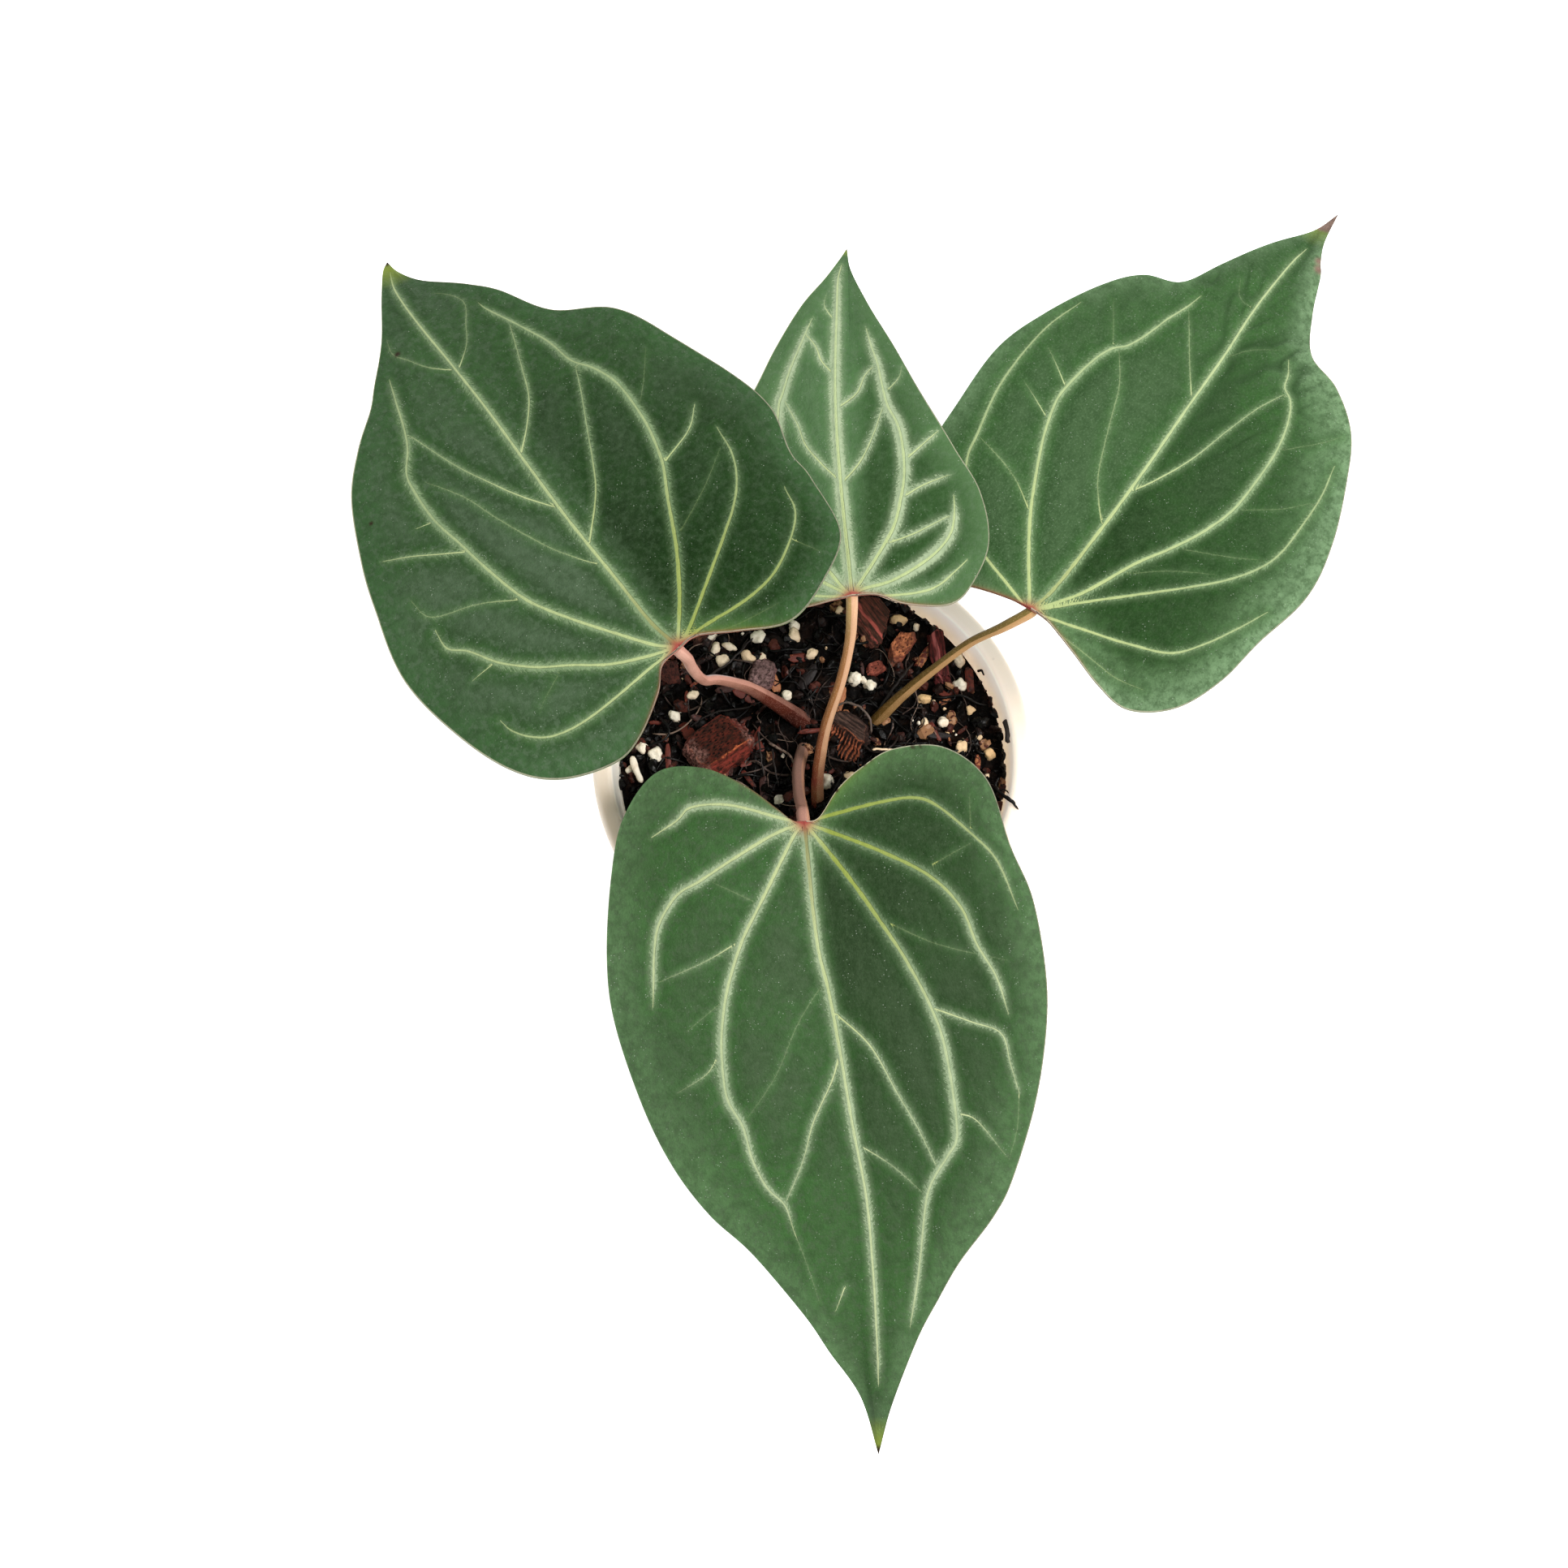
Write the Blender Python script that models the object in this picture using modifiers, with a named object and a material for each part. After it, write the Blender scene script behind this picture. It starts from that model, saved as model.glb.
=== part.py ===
"""Potted anthurium: a small plant with four velvety leaves in a round plastic nursery pot.

Everything is worked out in millimetres and scaled to metres when a mesh is made.
The origin is the centre of the pot's flat underside, +Z is up, and the longest reach
of the leaves runs along Y. The plant rests in the soil and the soil in the pot.
"""
import math
import random

import bmesh
import bpy
import numpy as np
from mathutils import Matrix, Vector

MM = 0.001                  # one millimetre in scene units
GAP = 0.3                   # clearance between pieces that touch
SEAT_SPARE = 0.45           # a little more under a blade, whose facets sag

# Pot
POT_HEIGHT = 105.0
RIM_RADIUS = 60.0           # outer edge of the rolled rim
RIM_WIDTH = 5.4             # from the outer edge to the mouth
RIM_DROP = 11.0             # how far the rim's skirt hangs
RIM_ROUND = 1.6             # rounding of the rim's two top edges
RIM_CHAMFER = 0.5           # where the middle of that rounding lies
RIM_THICKNESS = 2.1
SKIRT_TAPER = 0.7
POT_WALL = 1.7
FLOOR_THICKNESS = 2.4
FOOT_RADIUS = 41.0
FOOT_ROUND = 2.0
FOOT_CHAMFER = 0.6
CREAM = (0.83, 0.76, 0.64)
POT_STEPS = 48
DRAIN_SLOTS = 8
DRAIN_SIZE = (9.0, 5.0, 7.0)  # radial, across and up
SHARP_ANGLE = 40            # edges of the pot steeper than this stay sharp, in degrees

# Soil
SOIL_LEVEL = 95.0
SOIL_RELIEF = 0.9           # height of the ripples on top
SOIL_DIP = 0.8              # how far the soil drops at the wall
SOIL_FLAT_RADIUS = 44.0     # the ripples fade out from here
SOIL_FADE = 8.0             # over this width
DARK_SOIL = (0.035, 0.028, 0.024)
SOIL_STEPS = 48
SOIL_RINGS = 10
PERLITE_SEED = 11
PERLITE_EXTRA = 16          # beads under the leaves, besides those the photo shows
PERLITE_SPREAD = 49.0       # no bead further out
PERLITE_SIZES = (2.4, 4.2)
PERLITE_APART = 5.0
FRONT_LEAF_EDGE = -12.0     # in front of this the front leaf hides the soil
BEAD_LIFT = 0.12            # share of its diameter that a bead's centre stands above the soil
BEAD_AXIS = Vector((0.4, 0.3, 0.86))
HOLE_DEPTH = 26.0           # how far a stalk goes down into the soil
HOLE_TOP = 12.0             # a hole's cutter clears the soil by this much

# Leaves
BLADE_THICKNESS = 0.8
BLADE_RINGS = (0.34, 0.6, 0.78, 0.9, 1.0)
BLADE_EDGE_POINTS = 56
FOLD_ROUND = 6.0            # half width over which the fold at the midrib is rounded
WAVE_START = 25.0           # the edge waves grow with distance from the petiole

# Perlite beads seen in the photo: x, y and diameter
PERLITE = (
    (-28, 37, 3.1), (-27, 33, 4.0), (-23, 34, 3.3), (-25, 30, 3.7), (-18, 31, 4.4), (-14, 31, 3.1),
    (-15, 37, 3.7), (-5, 40, 3.3), (-5, 37, 3.6), (0, 32, 3.2), (-33, 20, 2.8), (-38, 14, 3.0),
    (-7, 20, 2.9), (-47, 5, 3.6), (-43, 3, 3.7), (-50, -1, 2.6), (-9, -10, 3.5), (4, -5, 4.0),
    (10, -3, 2.6), (8, 44, 3.2), (24, 42, 3.7), (12, 25, 4.0), (16, 23, 3.5), (41, 30, 3.5),
    (41, 23, 4.2), (31, 19, 3.6), (36, 12, 2.6), (44, 16, 2.2), (29, 40, 1.8), (31, 12, 2.4),
    (46, 8, 2.0), (41, 5, 3.3), (49, 3, 2.6), (48, -3, 2.1),
)

# Bark chips: where they lie, turn and tilt in degrees, length, width and thickness, and how much shows
DARK_BARK = (0.25, 0.10, 0.08)
CHIPS = {
    "bark_chip_block": dict(at=(-25.8, 4.4), turn=14, tilt=7, size=(18.0, 14.0, 10.5), shows=6.8, color=DARK_BARK),
    "bark_chip_striped": dict(at=(16.2, 41.4), turn=78, tilt=-8, size=(11.5, 7.6, 5.5), shows=3.8, color=DARK_BARK),
    "bark_chip_orange": dict(at=(24.6, 33.2), turn=118, tilt=12, size=(9.6, 5.4, 4.8), shows=3.6,
                             color=(0.45, 0.22, 0.10)),
    "bark_chip_small": dict(at=(17.6, 27.6), turn=20, tilt=-6, size=(5.0, 3.4, 3.4), shows=2.0, color=DARK_BARK),
    "bark_chip_strip": dict(at=(35.0, 30.2), turn=97, tilt=5, size=(13.0, 4.4, 4.4), shows=2.7, color=DARK_BARK),
    "bark_chip_fibrous": dict(at=(9.2, 8.4), turn=38, tilt=-6, size=(12.6, 10.4, 5.4), shows=3.8,
                              color=(0.40, 0.23, 0.13)),
    "bark_chip_lump": dict(at=(-13.8, 25.6), turn=75, tilt=8, size=(8.6, 6.4, 5.2), shows=3.4,
                           color=(0.33, 0.25, 0.23)),
    "bark_chip_left": dict(at=(-39.6, 26.2), turn=100, tilt=-10, size=(6.5, 5.6, 4.6), shows=2.8, color=DARK_BARK),
    "bark_chip_inner": dict(at=(-31.0, 38.0), turn=30, tilt=9, size=(6.2, 4.8, 4.2), shows=2.6, color=DARK_BARK),
}
CHIP_SEED = 5
CHIP_JITTER = 0.07
CHIP_BEVEL = 0.7

# Petioles: the centre line from the soil upwards, the radii at foot, middle and top joint, and the colour.
# The last two points of each line follow from its blade: the joint bends in and runs on under the midrib.
PETIOLES = {
    "petiole_left": dict(
        line=((-3.6, 13.0, 95.0), (-9.6, 14.8, 104.0), (-16.8, 16.2, 117.0), (-23.1, 14.6, 129.0),
              (-27.6, 12.4, 139.0), (-30.4, 11.4, 150.0)),
        radii=(2.3, 1.6, 1.9), color=(0.45, 0.25, 0.18)),
    "petiole_back": dict(
        line=((1.3, -9.7, 95.0), (1.5, -3.5, 102.0), (3.5, 5.7, 114.0), (7.3, 14.3, 127.0), (9.5, 22.1, 138.0)),
        radii=(2.0, 1.65, 1.8), color=(0.50, 0.33, 0.20)),
    "petiole_right": dict(
        line=((18.2, 13.3, 95.0), (24.2, 17.4, 103.0), (32.6, 21.7, 114.0), (41.9, 25.5, 126.0),
              (49.9, 27.0, 134.5)),
        radii=(1.8, 1.35, 1.65), color=(0.42, 0.36, 0.20)),
    "petiole_front": dict(
        line=((-2.7, 4.2, 95.0), (-3.9, -3.5, 102.0), (-3.7, -12.3, 111.0), (-2.9, -19.0, 119.5)),
        radii=(2.0, 1.75, 1.85), color=(0.42, 0.30, 0.25)),
}
JOINT_LEAD = -2.5           # where the joint comes in behind the blade
JOINT_REACH = 4.0           # how far it runs on under the midrib
CROWN = Vector((2.0, 5.0, 10.0))  # below the soil the stalks lean towards this point
PETIOLE_SPACING = 4.0
PETIOLE_BEVEL = 2                 # bevel resolution, eight sides
FLARE = 0.5                       # the foot's flare ends at this share of the line
JOINT_START = 0.82                # and the swollen joint begins at this one

# Leaves: base point, heading, pitch and roll in degrees, then arch of blade and lobes, fold and cup, edge wave,
# colour, the outline on the left and on the right of the heading from the sinus to the tip, and the tip.
# Outline points are (along the midrib, across it) from the point where the petiole meets the blade.
LEAVES = {
    "leaf_left": dict(
        base=(-34.7, 12.5, 163.0), heading=123.0, pitch=-6.0, roll=0.0,
        arch=0.0027, lobe_arch=0.010, fold=0.10, cup=0.0040, wave=(1.2, 9, 0.6), color=(0.035, 0.085, 0.035),
        left=((-2, 6), (-8, 11), (-15, 21), (-17, 30), (-13, 44), (-4, 53), (12, 59), (34, 62.6), (55, 59),
              (71, 55), (90, 48), (103, 39), (114, 30), (123, 24.5), (137, 15.5), (153, 8), (164, 3)),
        right=((0, -5.5), (-5, -15.5), (-10, -28), (-5.5, -41), (4, -52), (22, -54.5), (31, -54), (45.5, -57),
               (63, -54.5), (82, -48), (101, -40), (113, -27), (129, -19), (138, -13), (151, -4.5), (161, -0.8)),
        tip=(168, 0)),
    "leaf_back": dict(
        base=(9.9, 30.4, 150.0), heading=90.1, pitch=4.0, roll=0.0,
        arch=0.0052, lobe_arch=0.045, fold=0.12, cup=0.009, wave=(0.7, 7, 1.9), color=(0.075, 0.16, 0.08),
        left=((-1, 5), (-3, 14), (-2, 25), (3, 31), (15, 36), (30, 35.5), (48, 31), (62, 25), (75, 20),
              (90, 13), (101, 6.7), (110, 2.5)),
        right=((0.4, -6.7), (-2, -14), (-2, -25), (3, -31), (15, -36), (30, -34), (42.5, -27.5), (59, -19),
               (76, -12), (91, -5.4), (105, -1)),
        tip=(116, 0)),
    "leaf_right": dict(
        base=(56.4, 28.7, 143.0), heading=55.0, pitch=-4.0, roll=0.0,
        arch=0.0025, lobe_arch=0.010, fold=0.10, cup=0.0040, wave=(1.2, 9, 2.4), color=(0.055, 0.14, 0.05),
        left=((0, 6), (-3, 16), (-8, 28), (-6, 41), (4, 46), (16, 48), (38, 49), (63, 50), (81, 46), (99, 38),
              (110, 31), (116, 22), (130, 16.5), (149.5, 8.5), (165, 2.5)),
        right=((0.6, -5.4), (-3, -15.5), (-6.6, -26), (-7.4, -36), (0, -46), (13, -51.6), (30, -54),
               (49, -57.4), (66, -55), (88, -48), (102, -41.5), (112, -31), (118, -20), (133, -13),
               (148, -8), (153, -5.5), (162, -2.6)),
        tip=(179, 0)),
    "leaf_front": dict(
        base=(-2.5, -24.7, 128.0), heading=-82.9, pitch=-8.0, roll=0.0,
        arch=0.0022, lobe_arch=0.012, fold=0.10, cup=0.0040, wave=(1.3, 9, 0.2), color=(0.045, 0.12, 0.045),
        left=((-1, 4), (-8, 10), (-13, 17), (-17, 26), (-16, 39), (-6, 49), (12, 53), (27, 57.5), (47, 58.3),
              (64, 56), (82, 51), (100, 43), (109, 37), (120, 27), (130, 20), (140, 13.5), (157, 5)),
        right=((-1, -3), (-5, -7), (-12, -14.5), (-18, -25), (-18, -37), (-7, -47), (8, -52), (29, -55.5),
               (46, -55.5), (68, -51), (85, -45), (99, -37), (111, -27), (129, -15.5), (140, -10), (154, -3)),
        tip=(171, 0)),
}
SPOKE_CENTRE = 25.0         # point on the midrib that every outline point can be seen from

for old in list(bpy.data.objects):
    bpy.data.objects.remove(old)

plant = bpy.data.collections.new("potted_anthurium")
cutters = bpy.data.collections.new("cutters")
bpy.context.scene.collection.children.link(plant)
bpy.context.scene.collection.children.link(cutters)


def material(name, color, roughness=0.6):
    """A plain Principled material with one colour and roughness."""
    made = bpy.data.materials.new(name)
    made.use_nodes = True
    shader = made.node_tree.nodes["Principled BSDF"]
    shader.inputs["Base Color"].default_value = (*color, 1.0)
    shader.inputs["Roughness"].default_value = roughness
    return made


def add(name, data, finish=None, collection=plant):
    """Put mesh or curve data in the scene under a name."""
    made = bpy.data.objects.new(name, data)
    collection.objects.link(made)
    if finish:
        data.materials.append(finish)
    return made


def baked(piece):
    """The piece as its modifiers or curve settings leave it, as one plain mesh with its caps welded."""
    graph = bpy.context.evaluated_depsgraph_get()
    mesh = bpy.data.meshes.new_from_object(piece.evaluated_get(graph))
    work = bmesh.new()
    work.from_mesh(mesh)
    bmesh.ops.remove_doubles(work, verts=work.verts, dist=0.00001)
    work.to_mesh(mesh)
    work.free()
    name = piece.name
    home = piece.users_collection[0]
    place = piece.matrix_world.copy()
    bpy.data.objects.remove(piece)
    made = bpy.data.objects.new(name, mesh)
    made.matrix_world = place
    home.objects.link(made)
    return made


def turned(name, profile, steps, finish=None):
    """A solid turned round Z from a profile of (radius, height), outer side listed top to bottom."""
    points = [(radius * MM, 0.0, height * MM) for radius, height in profile]
    edges = [(i, i + 1) for i in range(len(points) - 1)]
    mesh = bpy.data.meshes.new(name)
    mesh.from_pydata(points, edges, [])
    piece = add(name, mesh, finish)
    screw = piece.modifiers.new("turn", "SCREW")
    screw.steps = steps
    screw.render_steps = steps
    screw.use_merge_vertices = True
    screw.merge_threshold = 0.00001
    screw.use_smooth_shade = True
    return piece


def combine(piece, collection, operation):
    """Boolean the piece with every object of a collection, apply it, and remove those objects."""
    change = piece.modifiers.new("combine", "BOOLEAN")
    change.operand_type = "COLLECTION"
    change.collection = collection
    change.operation = operation
    made = baked(piece)
    for used in list(collection.objects):
        bpy.data.objects.remove(used)
    bpy.data.collections.remove(collection)
    return made


def group(name):
    """A collection for the pieces of one Boolean."""
    made = bpy.data.collections.new(name)
    cutters.children.link(made)
    return made


def hide(piece):
    """Mark a cutter."""
    piece.hide_render = True
    piece.display_type = "WIRE"
    return piece


# Pot
def wall_radius(height):
    """Outer radius of the pot's wall, a straight taper from the foot to the mouth."""
    mouth = RIM_RADIUS - RIM_WIDTH + POT_WALL
    return FOOT_RADIUS + (mouth - FOOT_RADIUS) * height / POT_HEIGHT


def make_pot():
    """Thin tapered wall and flat floor, a broad rim that turns down into a skirt, slots round the foot."""
    skirt = POT_HEIGHT - RIM_DROP
    under_rim = POT_HEIGHT - RIM_THICKNESS
    mouth = RIM_RADIUS - RIM_WIDTH
    profile = (
        (0.0, FLOOR_THICKNESS),
        (wall_radius(0) - POT_WALL - FOOT_ROUND, FLOOR_THICKNESS),
        (wall_radius(FLOOR_THICKNESS) - POT_WALL, FLOOR_THICKNESS + FOOT_ROUND),
        (mouth, POT_HEIGHT - RIM_ROUND),
        (mouth + RIM_CHAMFER, POT_HEIGHT - RIM_CHAMFER),
        (mouth + RIM_ROUND, POT_HEIGHT),
        (RIM_RADIUS - RIM_ROUND, POT_HEIGHT),
        (RIM_RADIUS - RIM_CHAMFER, POT_HEIGHT - RIM_CHAMFER),
        (RIM_RADIUS, POT_HEIGHT - RIM_ROUND),
        (RIM_RADIUS - SKIRT_TAPER, skirt),
        (RIM_RADIUS - SKIRT_TAPER - POT_WALL, skirt),
        (RIM_RADIUS - POT_WALL, under_rim),
        (wall_radius(under_rim), under_rim),
        (wall_radius(FOOT_ROUND), FOOT_ROUND),
        (wall_radius(0) - FOOT_CHAMFER, FOOT_CHAMFER),
        (wall_radius(0) - FOOT_ROUND, 0.0),
        (0.0, 0.0),
    )
    pot = turned("pot", profile, POT_STEPS, material("cream_plastic", CREAM, 0.45))
    slots = group("drain_slots")
    for index in range(DRAIN_SLOTS):
        angle = 2 * math.pi * (index + 0.5) / DRAIN_SLOTS
        slot = bmesh.new()
        bmesh.ops.create_cube(slot, size=MM)
        bmesh.ops.scale(slot, vec=DRAIN_SIZE, verts=slot.verts)
        shift = Matrix.Rotation(angle, 4, "Z") @ Matrix.Translation(Vector((FOOT_RADIUS - 1, 0, 0)) * MM)
        bmesh.ops.transform(slot, matrix=shift, verts=slot.verts)
        mesh = bpy.data.meshes.new("drain_slot")
        slot.to_mesh(mesh)
        slot.free()
        hide(add("drain_slot", mesh, collection=slots))
    pot = combine(pot, slots, "DIFFERENCE")
    pot.data.set_sharp_from_angle(angle=math.radians(SHARP_ANGLE))


# Soil
def soil_height(x, y):
    """Top of the soil: a level of long and short ripples that fades out at the wall."""
    radius = math.hypot(x, y)
    fade = min(1.0, max(0.0, (SOIL_FLAT_RADIUS + SOIL_FADE - radius) / SOIL_FADE))
    ripple = math.sin(0.31 * x + 1.1) * math.cos(0.27 * y - 0.4) + 0.6 * math.sin(0.73 * x - 0.55 * y)
    return SOIL_LEVEL - SOIL_DIP * (1 - fade) + SOIL_RELIEF * fade * ripple


def make_soil():
    """Soil that fills the pot, turned and then rippled on top."""
    top_radius = wall_radius(SOIL_LEVEL) - POT_WALL - GAP
    low = FLOOR_THICKNESS + GAP
    rings = [(top_radius * i / SOIL_RINGS, SOIL_LEVEL) for i in range(SOIL_RINGS + 1)]
    side = [
        (wall_radius(low + FOOT_ROUND) - POT_WALL - GAP, low + FOOT_ROUND),
        (wall_radius(0) - POT_WALL - FOOT_ROUND - GAP, low),
        (0.0, low),
    ]
    soil = baked(turned("soil", rings + side, SOIL_STEPS))
    for vertex in soil.data.vertices:
        if vertex.co.z > (SOIL_LEVEL - 1.0) * MM:
            vertex.co.z = soil_height(vertex.co.x / MM, vertex.co.y / MM) * MM
    return soil


def bead(x, y, diameter, turn, collection):
    """One perlite bead: a rough little lump with its lower part in the soil."""
    lump = bmesh.new()
    bmesh.ops.create_icosphere(lump, subdivisions=1, radius=diameter / 2 * MM)
    place = Vector((x, y, soil_height(x, y) + BEAD_LIFT * diameter)) * MM
    shift = Matrix.Translation(place) @ Matrix.Rotation(turn, 4, BEAD_AXIS)
    bmesh.ops.transform(lump, matrix=shift, verts=lump.verts)
    mesh = bpy.data.meshes.new("bead")
    lump.to_mesh(mesh)
    lump.free()
    return add("bead", mesh, collection=collection)


def near_chip(x, y, margin):
    """True where a point lies on or beside a bark chip."""
    return any(math.hypot(x - chip["at"][0], y - chip["at"][1]) < max(chip["size"][:2]) / 2 + margin
               for chip in CHIPS.values())


def near_stalk(x, y, margin):
    """True where a point lies beside the foot of a petiole."""
    return any(math.hypot(x - stalk["line"][0][0], y - stalk["line"][0][1]) < stalk["radii"][0] + margin
               for stalk in PETIOLES.values())


def perlite_beads(collection):
    """The beads that the photo shows, then a few under the leaves where the soil is hidden."""
    draw = random.Random(PERLITE_SEED)
    places = list(PERLITE)
    wanted = len(places) + PERLITE_EXTRA
    while len(places) < wanted:
        angle = draw.uniform(0, 2 * math.pi)
        radius = PERLITE_SPREAD * math.sqrt(draw.random())
        x = radius * math.cos(angle)
        y = radius * math.sin(angle)
        size = draw.uniform(*PERLITE_SIZES)
        hidden = y < FRONT_LEAF_EDGE or radius > SOIL_FLAT_RADIUS
        apart = all(math.hypot(x - q[0], y - q[1]) > PERLITE_APART for q in places)
        if hidden and apart:
            places.append((x, y, size))
    for x, y, size in places:
        if not near_chip(x, y, -1.0) and not near_stalk(x, y, 2.5):
            bead(x, y, size, draw.uniform(0, 2 * math.pi), collection)


# Bark
def chip_mesh(name, size, grow):
    """A rough block: a box with its corners pushed about by a seeded draw, then chamfered."""
    draw = random.Random(CHIP_SEED + sum(map(ord, name)))
    block = bmesh.new()
    bmesh.ops.create_cube(block, size=1.0)
    for vertex in block.verts:
        for axis in range(3):
            shift = draw.uniform(-CHIP_JITTER, CHIP_JITTER)
            vertex.co[axis] = vertex.co[axis] * (size[axis] + 2 * grow) + shift * size[axis]
    bmesh.ops.bevel(block, geom=block.edges, offset=CHIP_BEVEL, segments=1, affect="EDGES")
    bmesh.ops.triangulate(block, faces=block.faces)
    bmesh.ops.scale(block, vec=(MM, MM, MM), verts=block.verts)
    mesh = bpy.data.meshes.new(name)
    block.to_mesh(mesh)
    block.free()
    return mesh


def chip_place(chip):
    """Where a chip lies: its turn, its tilt and how deep it sits in the soil."""
    centre = Vector((*chip["at"], SOIL_LEVEL + chip["shows"] - chip["size"][2] / 2)) * MM
    turn = Matrix.Rotation(math.radians(chip["turn"]), 4, "Z")
    tilt = Matrix.Rotation(math.radians(chip["tilt"]), 4, "Y")
    return Matrix.Translation(centre) @ turn @ tilt


def make_chips(beds):
    """Every bark chip, and for each one a bed in the soil with a little clearance all round."""
    for name, chip in CHIPS.items():
        lump = add(name, chip_mesh(name, chip["size"], 0.0), material(name + "_bark", chip["color"], 0.85))
        lump.matrix_world = chip_place(chip)
        bed = add(name + "_bed", chip_mesh(name, chip["size"], GAP), collection=beds)
        bed.matrix_world = chip_place(chip)


# Petioles
def smooth_path(points, spacing):
    """Points a given distance apart on a Catmull-Rom curve through the given ones."""
    ends = [2 * points[0] - points[1], *points, 2 * points[-1] - points[-2]]
    fine = []
    for p0, p1, p2, p3 in zip(ends, ends[1:], ends[2:], ends[3:]):
        count = max(2, round((p2 - p1).length / spacing))
        for step in range(count):
            t = step / count
            fine.append(0.5 * (2 * p1 + (p2 - p0) * t + (2 * p0 - 5 * p1 + 4 * p2 - p3) * t ** 2
                               + (3 * p1 - p0 - 3 * p2 + p3) * t ** 3))
    fine.append(points[-1])
    return fine


def stalk_line(name, stalk):
    """The whole centre line of a petiole, from its foot in the soil to its seat under the blade."""
    above = [Vector(point) for point in stalk["line"]]
    foot = above[0] + (CROWN - above[0]).normalized() * HOLE_DEPTH
    drop = -(BLADE_THICKNESS + GAP + SEAT_SPARE + stalk["radii"][2])
    blade = LEAVES[name.replace("petiole", "leaf")]
    seat = blade_points(blade, np.array(((JOINT_LEAD, 0.0, drop), (JOINT_REACH, 0.0, drop))))
    return smooth_path([foot, *above, *map(Vector, seat)], PETIOLE_SPACING)


def stalk_radius(share, radii):
    """Radius at a share of the line: a flared foot, a slim middle and a swollen joint under the blade."""
    foot, middle, joint = radii
    flare = max(0.0, 1 - share / FLARE) ** 1.5
    swell = max(0.0, (share - JOINT_START) / (1 - JOINT_START)) ** 0.7
    return middle + (foot - middle) * flare + (joint - middle) * swell


def tube(name, path, radii, collection, finish=None):
    """A round tube along a path, with its own radius at each point and filled ends."""
    curve = bpy.data.curves.new(name, "CURVE")
    curve.dimensions = "3D"
    curve.bevel_depth = MM
    curve.bevel_resolution = PETIOLE_BEVEL
    curve.use_fill_caps = True
    line = curve.splines.new("POLY")
    line.points.add(len(path) - 1)
    for point, place, radius in zip(line.points, path, radii):
        point.co = (*(place * MM), 1.0)
        point.radius = radius
    return add(name, curve, finish, collection)


def make_petioles(holes):
    """Every petiole, and for each one a plain hole in the soil a little wider and deeper than its foot."""
    for name, stalk in PETIOLES.items():
        path = stalk_line(name, stalk)
        radii = [stalk_radius(index / (len(path) - 1), stalk["radii"]) for index in range(len(path))]
        tube(name, path, radii, plant, material(name + "_skin", stalk["color"], 0.5))
        low = [place for place in path if place.z < SOIL_LEVEL + HOLE_TOP]
        low[0] = low[0] + (low[0] - low[1]).normalized() * GAP
        baked(tube(name + "_hole", low, [radius + GAP for radius in radii], holes))


# Leaf blades
def ring_curve(points, count):
    """Points spread evenly by index along a closed Catmull-Rom curve."""
    p1 = np.asarray(points, float)
    p0, p2, p3 = np.roll(p1, 1, 0), np.roll(p1, -1, 0), np.roll(p1, -2, 0)
    where = np.arange(count) * len(p1) / count
    i = where.astype(int)
    t = (where - i)[:, None]
    a, b, c, d = p0[i], p1[i], p2[i], p3[i]
    return 0.5 * (2 * b + (c - a) * t + (2 * a - 5 * b + 4 * c - d) * t ** 2 + (3 * b - a - 3 * c + d) * t ** 3)


def blade_points(spec, across):
    """Flat blade coordinates laid on the leaf's surface.

    Along the midrib the blade bends down as a circular arc; across it the blade folds up
    from the midrib and cups down again towards the edge. A third column lifts the edge waves.
    """
    heading, pitch, roll = (math.radians(spec[key]) for key in ("heading", "pitch", "roll"))
    ahead = np.array((math.cos(heading), math.sin(heading), 0.0))
    left = np.array((-ahead[1], ahead[0], 0.0))
    up = np.array((0.0, 0.0, 1.0))
    forward = math.cos(pitch) * ahead + math.sin(pitch) * up
    normal = math.cos(pitch) * up - math.sin(pitch) * ahead
    side = math.cos(roll) * left + math.sin(roll) * normal
    normal = math.cos(roll) * normal - math.sin(roll) * left
    a, b, lift = across.T
    bend = np.where(a >= 0, spec["arch"], spec["lobe_arch"])
    along = np.sin(bend * a) / bend
    rise = -(1 - np.cos(bend * a)) / bend + lift - spec["cup"] * b ** 2 / 2
    rise += spec["fold"] * (np.sqrt(b ** 2 + FOLD_ROUND ** 2) - FOLD_ROUND)
    return np.array(spec["base"]) + np.outer(along, forward) + np.outer(b, side) + np.outer(rise, normal)


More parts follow.
